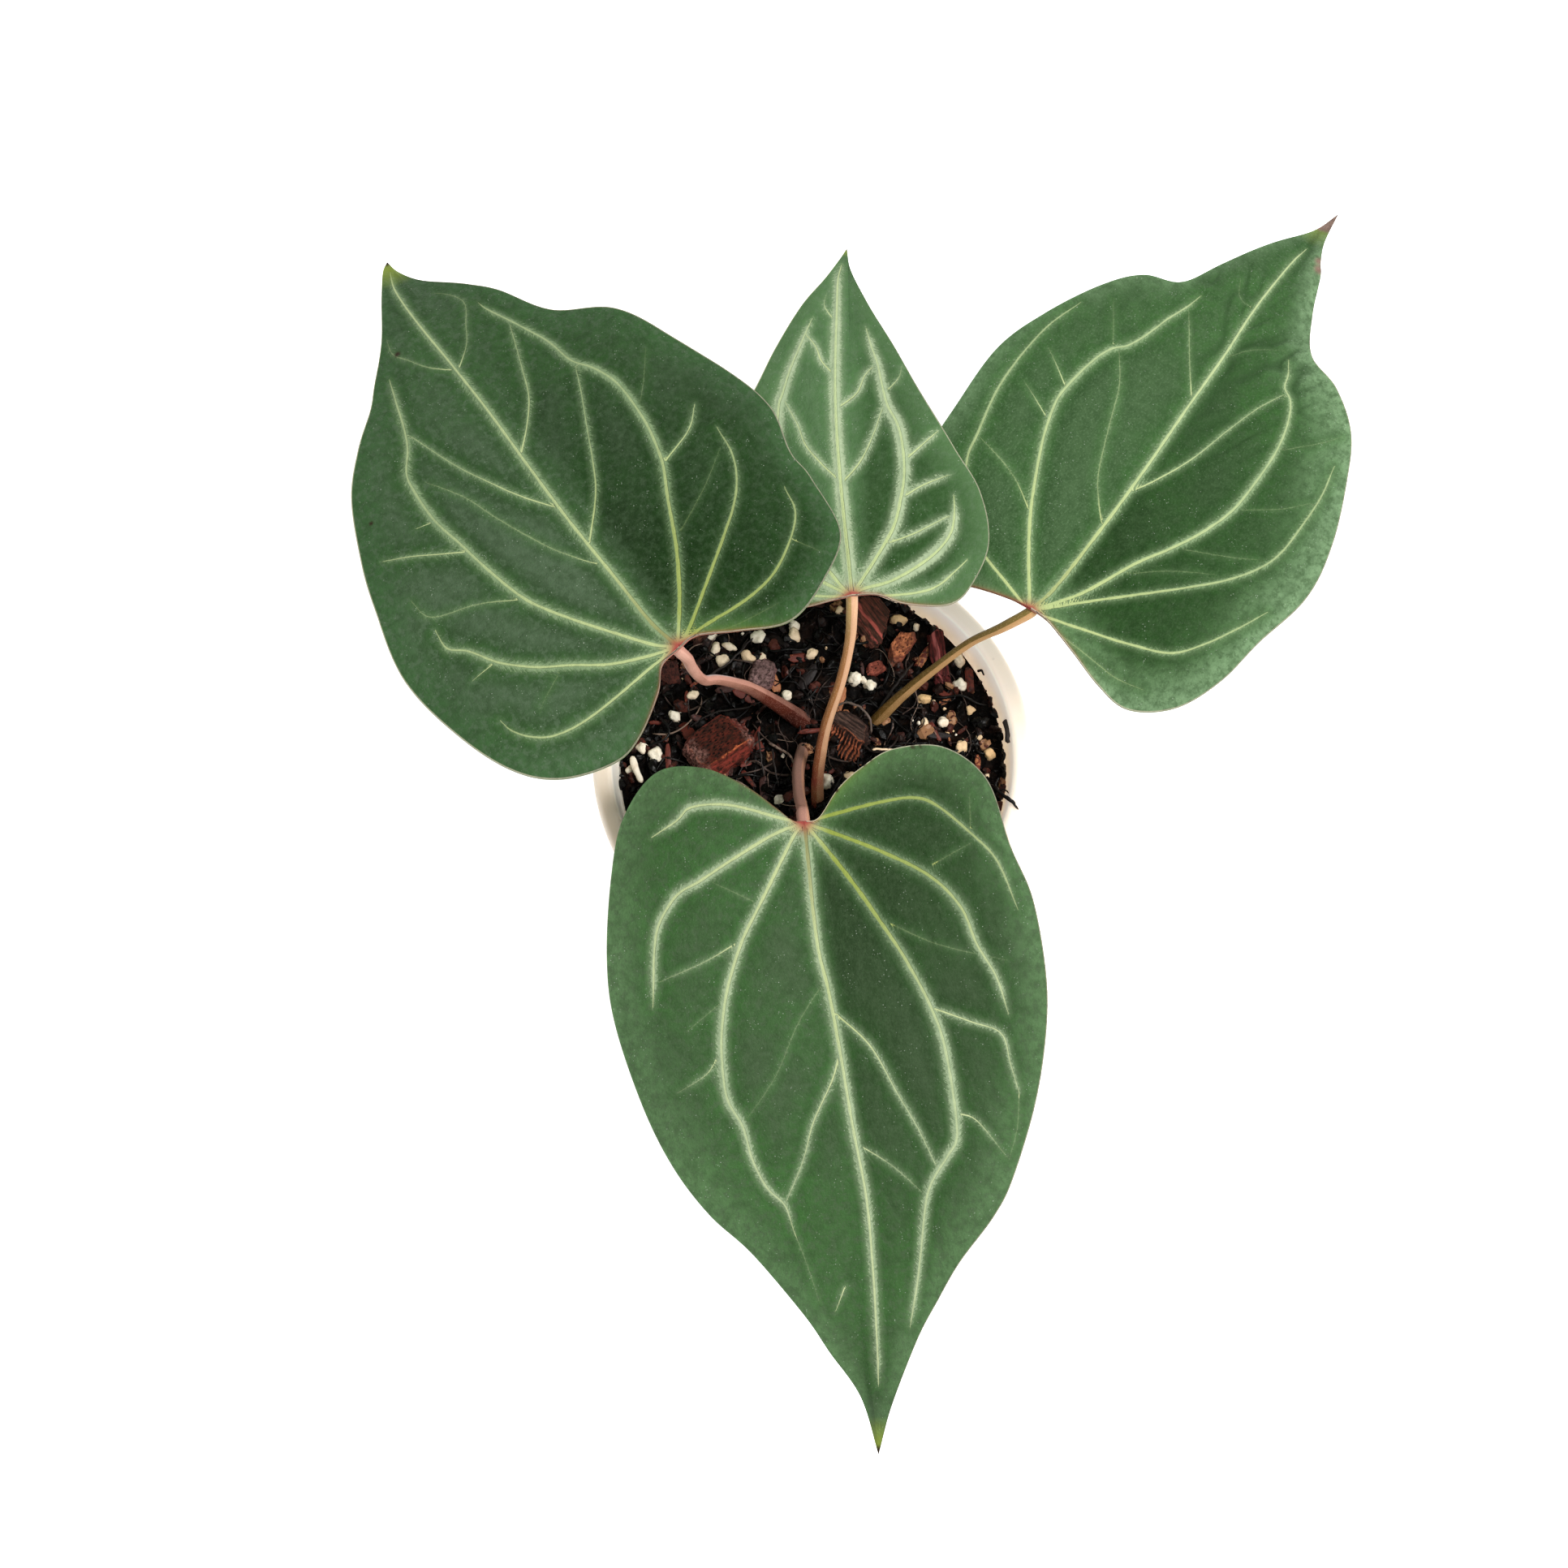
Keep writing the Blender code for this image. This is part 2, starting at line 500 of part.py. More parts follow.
def make_leaf(name, spec):
    """One blade: spokes from a point on the midrib to a smooth outline, waved towards the edge, then thickened."""
    edge = ring_curve((*spec["left"], spec["tip"], *reversed(spec["right"])), BLADE_EDGE_POINTS)
    centre = np.array((SPOKE_CENTRE, 0.0))
    height, count, phase = spec["wave"]
    swing = np.sin(2 * math.pi * count * np.arange(len(edge)) / len(edge) + phase)
    swing *= 1 - np.exp(-(edge ** 2).sum(axis=1) / WAVE_START ** 2)
    flat = [(SPOKE_CENTRE, 0.0, 0.0)]
    for share in BLADE_RINGS:
        ring = centre + share * (edge - centre)
        flat += np.column_stack((ring, height * share ** 4 * swing)).tolist()
    faces = []
    n = len(edge)
    for j in range(n):
        k = (j + 1) % n
        faces.append((0, 1 + k, 1 + j))
        for ring in range(len(BLADE_RINGS) - 1):
            low, high = 1 + ring * n, 1 + (ring + 1) * n
            faces += [(low + j, low + k, high + k), (low + j, high + k, high + j)]
    mesh = bpy.data.meshes.new(name)
    mesh.from_pydata((blade_points(spec, np.array(flat)) * MM).tolist(), [], faces)
    blade = add(name, mesh, material(name + "_velvet", spec["color"], 0.7))
    work = bmesh.new()
    work.from_mesh(mesh)
    bmesh.ops.recalc_face_normals(work, faces=work.faces)
    if sum(face.normal.z for face in work.faces) < 0:
        bmesh.ops.reverse_faces(work, faces=work.faces)
    work.to_mesh(mesh)
    work.free()
    mesh.shade_smooth()
    thick = blade.modifiers.new("thickness", "SOLIDIFY")
    thick.thickness = BLADE_THICKNESS * MM
    thick.offset = -1.0


make_pot()
soil = make_soil()
beads = group("perlite")
perlite_beads(beads)
soil = combine(soil, beads, "UNION")
hollows = group("hollows")
make_petioles(hollows)
make_chips(hollows)
for cutter in hollows.objects:
    hide(cutter)
soil = combine(soil, hollows, "DIFFERENCE")
soil.data.materials.append(material("soil_mix", DARK_SOIL, 0.95))
for leaf_name, leaf_spec in LEAVES.items():
    make_leaf(leaf_name, leaf_spec)
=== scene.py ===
# %% [markdown]
# # A velvety anthurium in a nursery pot
# The plant has three broad leaves and a young one, each on its own stalk, in a cream plastic pot of coarse
# bark soil. The solids of the frame give every place and size, so the first step loads them. Each solid
# could be painted as it is, but they are coarse, so every one is replaced by a finer surface worked out
# here.

# %% Load the frame
import math

import bmesh
import bpy
import numpy as np
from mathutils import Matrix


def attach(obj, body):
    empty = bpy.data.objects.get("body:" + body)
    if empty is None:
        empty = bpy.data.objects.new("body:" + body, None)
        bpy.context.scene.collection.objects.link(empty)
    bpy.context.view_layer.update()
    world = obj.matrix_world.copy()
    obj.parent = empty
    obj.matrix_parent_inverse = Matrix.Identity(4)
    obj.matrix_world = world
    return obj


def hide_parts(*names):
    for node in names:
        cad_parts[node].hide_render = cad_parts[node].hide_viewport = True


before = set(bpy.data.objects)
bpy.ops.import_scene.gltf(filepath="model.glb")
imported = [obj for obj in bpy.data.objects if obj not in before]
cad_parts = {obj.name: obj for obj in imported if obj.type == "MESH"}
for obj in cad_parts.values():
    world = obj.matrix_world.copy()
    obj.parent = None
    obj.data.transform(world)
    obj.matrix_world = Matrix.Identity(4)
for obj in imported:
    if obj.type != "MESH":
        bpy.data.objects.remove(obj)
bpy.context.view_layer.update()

MM = 0.001

# %% [markdown]
# The picture looks almost straight down from about 0.9 m, tilted back by fifteen degrees, with a lens of a
# little over standard length. The floor is plain and nearly white. Light could come from one lamp, but the
# leaves show soft shading with hardly a shadow, so a bright even sky does most of the work. One broad soft
# panel, high on the right, gives the leaves their form. The floor glows a little, like a light table, so
# that it stays white under the leaves.

# %% Camera, floor and light
CAMERA_PLACE = (-7.8, -214.5, 875.7)
CAMERA_TILT = 15.0
CAMERA_LENS = 67.5
SKY_STRENGTH = 0.95
WINDOW_PLACE = (0.62, -0.12, 1.15)
WINDOW_AIM = (0.0, 0.0, 0.1)
WINDOW_SIZE = 0.45
WINDOW_POWER = 20.0
WINDOW_COLOR = (1.0, 0.985, 0.96)
FLOOR_GLOW = 0.42
FLOOR_HALF = 3.0


def make_camera():
    """The viewing camera, 36 mm wide sensor, with no shift and everything sharp."""
    data = bpy.data.cameras.new("view")
    data.lens = CAMERA_LENS
    data.sensor_width = 36.0
    data.clip_start = 0.01
    camera = bpy.data.objects.new("view", data)
    camera.location = [v * MM for v in CAMERA_PLACE]
    camera.rotation_euler = (math.radians(CAMERA_TILT), 0.0, 0.0)
    bpy.context.scene.collection.objects.link(camera)
    bpy.context.scene.camera = camera


def make_window():
    """One broad soft panel of light, turned to face the plant: its tilt is the angle between straight down
    and the line to the plant."""
    data = bpy.data.lights.new("window", "AREA")
    data.size = WINDOW_SIZE
    data.energy = WINDOW_POWER
    data.color = WINDOW_COLOR
    panel = bpy.data.objects.new("window", data)
    toward = np.array(WINDOW_AIM) - np.array(WINDOW_PLACE)
    flat = math.hypot(toward[0], toward[1])
    panel.rotation_euler = (math.atan2(flat, -toward[2]), 0.0, math.atan2(-toward[0], toward[1]))
    panel.location = WINDOW_PLACE
    bpy.context.scene.collection.objects.link(panel)


make_camera()
make_window()
world = bpy.data.worlds.new("studio")
world.use_nodes = True
world.node_tree.nodes["Background"].inputs["Color"].default_value = (1.0, 1.0, 1.0, 1.0)
world.node_tree.nodes["Background"].inputs["Strength"].default_value = SKY_STRENGTH
bpy.context.scene.world = world
bpy.context.scene.view_settings.view_transform = "Standard"

# %% [markdown]
# Every finish below is a chain of small steps, so a few helpers keep them short. `Paint` starts a finish
# and adds steps to it. A pattern could be an image, but the plant has no flat part to take one, so each
# pattern is worked out in place. It reads Object coordinates, which stay put because every finished piece
# keeps its place in its mesh, or a value or a map that is stored on the mesh.

# %% Helpers for finishes


class Paint:
    """A finish with shortcuts for the steps used here."""

    def __init__(self, name, roughness=0.6, sheen=0.0, specular=0.5, subsurface=0.0):
        self.material = bpy.data.materials.new(name)
        self.material.use_nodes = True
        self.tree = self.material.node_tree
        self.shader = self.tree.nodes["Principled BSDF"]
        self.shader.inputs["Roughness"].default_value = roughness
        self.shader.inputs["Sheen Weight"].default_value = sheen
        self.shader.inputs["Specular IOR Level"].default_value = specular
        self.shader.inputs["Subsurface Weight"].default_value = subsurface

    def node(self, kind, **inputs):
        """A node of one kind, with plain values or links for its named or numbered inputs."""
        made = self.tree.nodes.new(kind)
        for key, value in inputs.items():
            socket = made.inputs[int(key[1:])] if key[1:].isdigit() else made.inputs[key]
            if isinstance(value, bpy.types.NodeSocket):
                self.tree.links.new(value, socket)
            else:
                socket.default_value = value
        return made

    def attribute(self, name, output="Fac"):
        """A value stored on the mesh."""
        made = self.tree.nodes.new("ShaderNodeAttribute")
        made.attribute_name = name
        return made.outputs[output]

    def map(self, name):
        """Flat coordinates stored on the mesh."""
        made = self.tree.nodes.new("ShaderNodeUVMap")
        made.uv_map = name
        return made.outputs[0]

    def place(self):
        """Object coordinates."""
        return self.node("ShaderNodeTexCoord").outputs["Object"]

    def math(self, operation, a, b=0.0):
        """One step of arithmetic."""
        made = self.node("ShaderNodeMath", _0=a, _1=b)
        made.operation = operation
        return made.outputs[0]

    def times(self, a, b):
        """Product of two values."""
        return self.math("MULTIPLY", a, b)

    def plus(self, a, b):
        """Sum of two values."""
        return self.math("ADD", a, b)

    def ramp(self, value, low, high, out_low=0.0, out_high=1.0):
        """A smooth step from one output to another as the value goes from low to high."""
        made = self.node("ShaderNodeMapRange", _0=value, _1=low, _2=high, _3=out_low, _4=out_high)
        made.interpolation_type = "SMOOTHSTEP"
        return made.outputs[0]

    def noise(self, scale, detail=3.0, vector=None, stretch=None, roughness=0.5):
        """Soft noise between 0 and 1, scale per metre, on Object coordinates unless a vector is given."""
        if vector is None:
            vector = self.place()
        if stretch is not None:
            vector = self.node("ShaderNodeMapping", Vector=vector, Scale=stretch).outputs[0]
        inputs = dict(Vector=vector, Scale=scale, Detail=detail, Roughness=roughness)
        return self.node("ShaderNodeTexNoise", **inputs).outputs["Fac"]

    def dots(self, scale, vector=None):
        """Distance to the nearest of many scattered dots, with scale and vector as for noise."""
        if vector is None:
            vector = self.place()
        return self.node("ShaderNodeTexVoronoi", Vector=vector, Scale=scale).outputs["Distance"]

    def mix(self, factor, a, b, blend="MIX"):
        """One colour over another."""
        made = self.tree.nodes.new("ShaderNodeMix")
        made.data_type = "RGBA"
        made.blend_type = blend
        for socket, value in ((made.inputs[0], factor), (made.inputs[6], a), (made.inputs[7], b)):
            if isinstance(value, bpy.types.NodeSocket):
                self.tree.links.new(value, socket)
            else:
                socket.default_value = value if isinstance(value, float) else (*value, 1.0)
        return made.outputs[2]

    def bump(self, height, strength, depth):
        """Fine relief for the shader, depth in metres."""
        made = self.node("ShaderNodeBump", Height=height, Strength=strength, Distance=depth)
        self.tree.links.new(made.outputs[0], self.shader.inputs["Normal"])

    def finish(self, color, roughness=None):
        """Link the finished colour, and a varied roughness where there is one, to the shader."""
        self.tree.links.new(color, self.shader.inputs["Base Color"])
        if roughness is not None:
            self.tree.links.new(roughness, self.shader.inputs["Roughness"])
        return self.material


# %% [markdown]
# New pieces are numpy arrays of points in millimetres with the faces of a grid. `piece` turns them into a
# Blender object at the origin, stores any values and UV maps on it, gives it its finish, and says what it
# rides on and which solid it stands for.

# %% Helpers for meshes
triangle_counts = []


def grid_faces(rows, columns, start=0, closed=False):
    """Quads between neighbouring rows and columns of points numbered row by row; closed joins the last
    column to the first."""
    across = columns if closed else columns - 1
    row, column = np.meshgrid(np.arange(rows - 1), np.arange(across), indexing="ij")
    right = (column + 1) % columns
    a = row * columns + column
    b = row * columns + right
    c = (row + 1) * columns + right
    d = (row + 1) * columns + column
    return start + np.stack((a, b, c, d), axis=-1).reshape(-1, 4)


def piece(name, points, faces, material, values=None, maps=None, replaces=None):
    """A smooth-shaded mesh object in millimetres, riding on the root body."""
    mesh = bpy.data.meshes.new(name)
    mesh.from_pydata(np.asarray(points) * MM, [], faces)
    mesh.shade_smooth()
    for key, value in (values or {}).items():
        mesh.attributes.new(key, "FLOAT", "POINT").data.foreach_set("value", np.asarray(value, np.float32))
    if maps:
        corner = np.empty(len(mesh.loops), np.int32)
        mesh.loops.foreach_get("vertex_index", corner)
        for key, value in maps.items():
            layer = mesh.uv_layers.new(name=key)
            layer.data.foreach_set("uv", np.asarray(value, np.float32)[corner].ravel())
    mesh.materials.append(material)
    made = bpy.data.objects.new(name, mesh)
    bpy.context.scene.collection.objects.link(made)
    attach(made, "root")
    if replaces:
        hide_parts(*replaces)
    triangles = len(mesh.loops) - 2 * len(mesh.polygons)
    triangle_counts.append(triangles)
    print(name, len(mesh.vertices), "points", triangles, "triangles")
    return made


def held(values):
    """Values kept between 0 and 1."""
    return np.clip(values, 0.0, 1.0)


def catmull(points, share):
    """Points on a smooth curve through the given ones. Each share runs from 0 at the first point to 1 at
    the last; between two neighbours the cubic keeps the slope that joins the points on either side."""
    p = np.asarray(points, float)
    spans = len(p) - 1
    where = held(np.asarray(share, float)) * spans
    i = np.minimum(where.astype(int), spans - 1)
    t = (where - i)[:, None]
    p = np.vstack((2 * p[0] - p[1], p, 2 * p[-1] - p[-2]))
    a, b, c, d = (p[i + shift] for shift in range(4))
    cubic = (3 * b - a - 3 * c + d) * t ** 3
    return 0.5 * (2 * b + (c - a) * t + (2 * a - 5 * b + 4 * c - d) * t ** 2 + cubic)


def evenly(points, count):
    """The same smooth curve, resampled so that its points lie the same distance apart."""
    fine = catmull(points, np.linspace(0.0, 1.0, 40 * len(points)))
    length = np.concatenate(([0.0], np.cumsum(np.linalg.norm(np.diff(fine, axis=0), axis=1))))
    wanted = np.linspace(0.0, length[-1], count)
    return np.column_stack([np.interp(wanted, length, fine[:, k]) for k in range(fine.shape[1])])


def value_noise(points, size, seed):
    """Smooth random values between -1 and 1: random numbers on a cubic lattice with the given cell size,
    blended between the eight nearest corners by a smooth step."""
    p = np.asarray(points, float) / size
    cell = np.floor(p).astype(np.int64)
    t = p - cell
    t = t * t * (3 - 2 * t)
    total = 0.0
    for corner in range(8):
        step = np.array([(corner >> axis) & 1 for axis in range(3)])
        key = (cell + step) @ np.array([73856093, 19349663, 83492791]) + seed * 2654435761
        key = (key ^ (key >> 13)) * 1274126177 & 0xFFFFFFFF
        key = (key ^ (key >> 16)) * 2246822519 & 0xFFFFFFFF
        weight = np.prod(np.where(step == 1, t, 1 - t), axis=-1)
        total = total + weight * ((key & 0xFFFF) / 32767.5 - 1)
    return total


# %% [markdown]
# ## Leaves
# A blade is a heart-shaped sheet that folds up a little on both sides of its midrib, cups down again
# towards its edge and droops along its length. It could be sculpted, but a formula keeps it in step with
# the solids: the same flat outline is laid on the same curved surface. Flat places are written as (along
# the midrib, across it to the left) in millimetres from the point where the stalk meets the blade.

# %% Places and outlines of the four blades
FOLD_ROUND = 6.0
WAVE_START = 25.0
BLADE_THICKNESS = 0.8

# base: where the stalk meets the blade; heading and pitch: where the midrib starts out, in degrees
# arch and lobe_arch: how much the midrib bends down ahead of the base and behind it, per millimetre
# fold and cup: slope up from the midrib, then how much the sides curl down again
# wave: height, count and start of the waves along the edge
# centre: place on the midrib that the net is drawn round; cells: how many cells the net has across
# wider: how wide the pale bands are; margin: how rosy the edge is beside the stalk
# tip_lengths: the dry end and the yellow end; scars: place and size of small dry marks
# left, right and tip: the outline
LEAVES = {
    "leaf_left": dict(
        base=(-34.7, 12.5, 163.0), heading=123.0, pitch=-6.0,
        arch=0.0027, lobe_arch=0.010, fold=0.10, cup=0.0040, wave=(1.2, 9, 0.6), centre=60.0, cells=224,
        wider=1.08, margin=0.9, tip_lengths=(2.0, 10.0), scars=((128, 14.5, 0.8), (80, 47, 0.5)),
        left=((-2, 6), (-8, 11), (-15, 21), (-17, 30), (-13, 44), (-4, 53), (12, 59), (34, 62.6), (55, 59),
              (71, 55), (90, 48), (103, 39), (114, 30), (123, 24.5), (137, 15.5), (153, 8), (164, 3)),
        right=((0, -5.5), (-5, -15.5), (-10, -28), (-5.5, -41), (4, -52), (22, -54.5), (31, -54),
               (45.5, -57), (63, -54.5), (82, -48), (101, -40), (113, -27), (129, -19), (138, -13),
               (151, -4.5), (161, -0.8)),
        tip=(168, 0)),
    "leaf_back": dict(
        base=(9.9, 30.4, 150.0), heading=90.1, pitch=4.0,
        arch=0.0052, lobe_arch=0.045, fold=0.12, cup=0.009, wave=(0.7, 7, 1.9), centre=32.0, cells=164,
        wider=1.42, margin=0.9, tip_lengths=(1.0, 3.0), scars=(),
        left=((-1, 5), (-3, 14), (-2, 25), (3, 31), (15, 36), (30, 35.5), (48, 31), (62, 25), (75, 20),
              (90, 13), (101, 6.7), (110, 2.5)),
        right=((0.4, -6.7), (-2, -14), (-2, -25), (3, -31), (15, -36), (30, -34), (42.5, -27.5), (59, -19),
               (76, -12), (91, -5.4), (105, -1)),
        tip=(116, 0)),
    "leaf_right": dict(
        base=(56.4, 28.7, 143.0), heading=55.0, pitch=-4.0,
        arch=0.0025, lobe_arch=0.010, fold=0.10, cup=0.0040, wave=(1.2, 9, 2.4), centre=62.0, cells=224,
        wider=0.88, margin=0.6, tip_lengths=(12.0, 15.0), scars=((150, -6.5, 1.4), (153, -5, 1.2)),
        left=((0, 6), (-3, 16), (-8, 28), (-6, 41), (4, 46), (16, 48), (38, 49), (63, 50), (81, 46),
              (99, 38), (110, 31), (116, 22), (130, 16.5), (149.5, 8.5), (165, 2.5)),
        right=((0.6, -5.4), (-3, -15.5), (-6.6, -26), (-7.4, -36), (0, -46), (13, -51.6), (30, -54),
               (49, -57.4), (66, -55), (88, -48), (102, -41.5), (112, -31), (118, -20), (133, -13),
               (148, -8), (153, -5.5), (162, -2.6)),
        tip=(179, 0)),
    "leaf_front": dict(
        base=(-2.5, -24.7, 128.0), heading=-82.9, pitch=-8.0,
        arch=0.0022, lobe_arch=0.012, fold=0.10, cup=0.0040, wave=(1.3, 9, 0.2), centre=58.0, cells=224,
        wider=1.08, margin=0.45, tip_lengths=(2.5, 8.0),
        scars=((-7.5, 9.5, 0.5), (-13.5, 17.5, 0.5), (-14.5, 19.5, 0.4), (-17, 31, 0.5), (-17, 33, 0.4)),
        left=((-1, 4), (-8, 10), (-13, 17), (-17, 26), (-16, 39), (-6, 49), (12, 53), (27, 57.5),
              (47, 58.3), (64, 56), (82, 51), (100, 43), (109, 37), (120, 27), (130, 20), (140, 13.5),
              (157, 5)),
        right=((-1, -3), (-5, -7), (-12, -14.5), (-18, -25), (-18, -37), (-7, -47), (8, -52), (29, -55.5),
               (46, -55.5), (68, -51), (85, -45), (99, -37), (111, -27), (129, -15.5), (140, -10),
               (154, -3)),
        tip=(171, 0)),
}
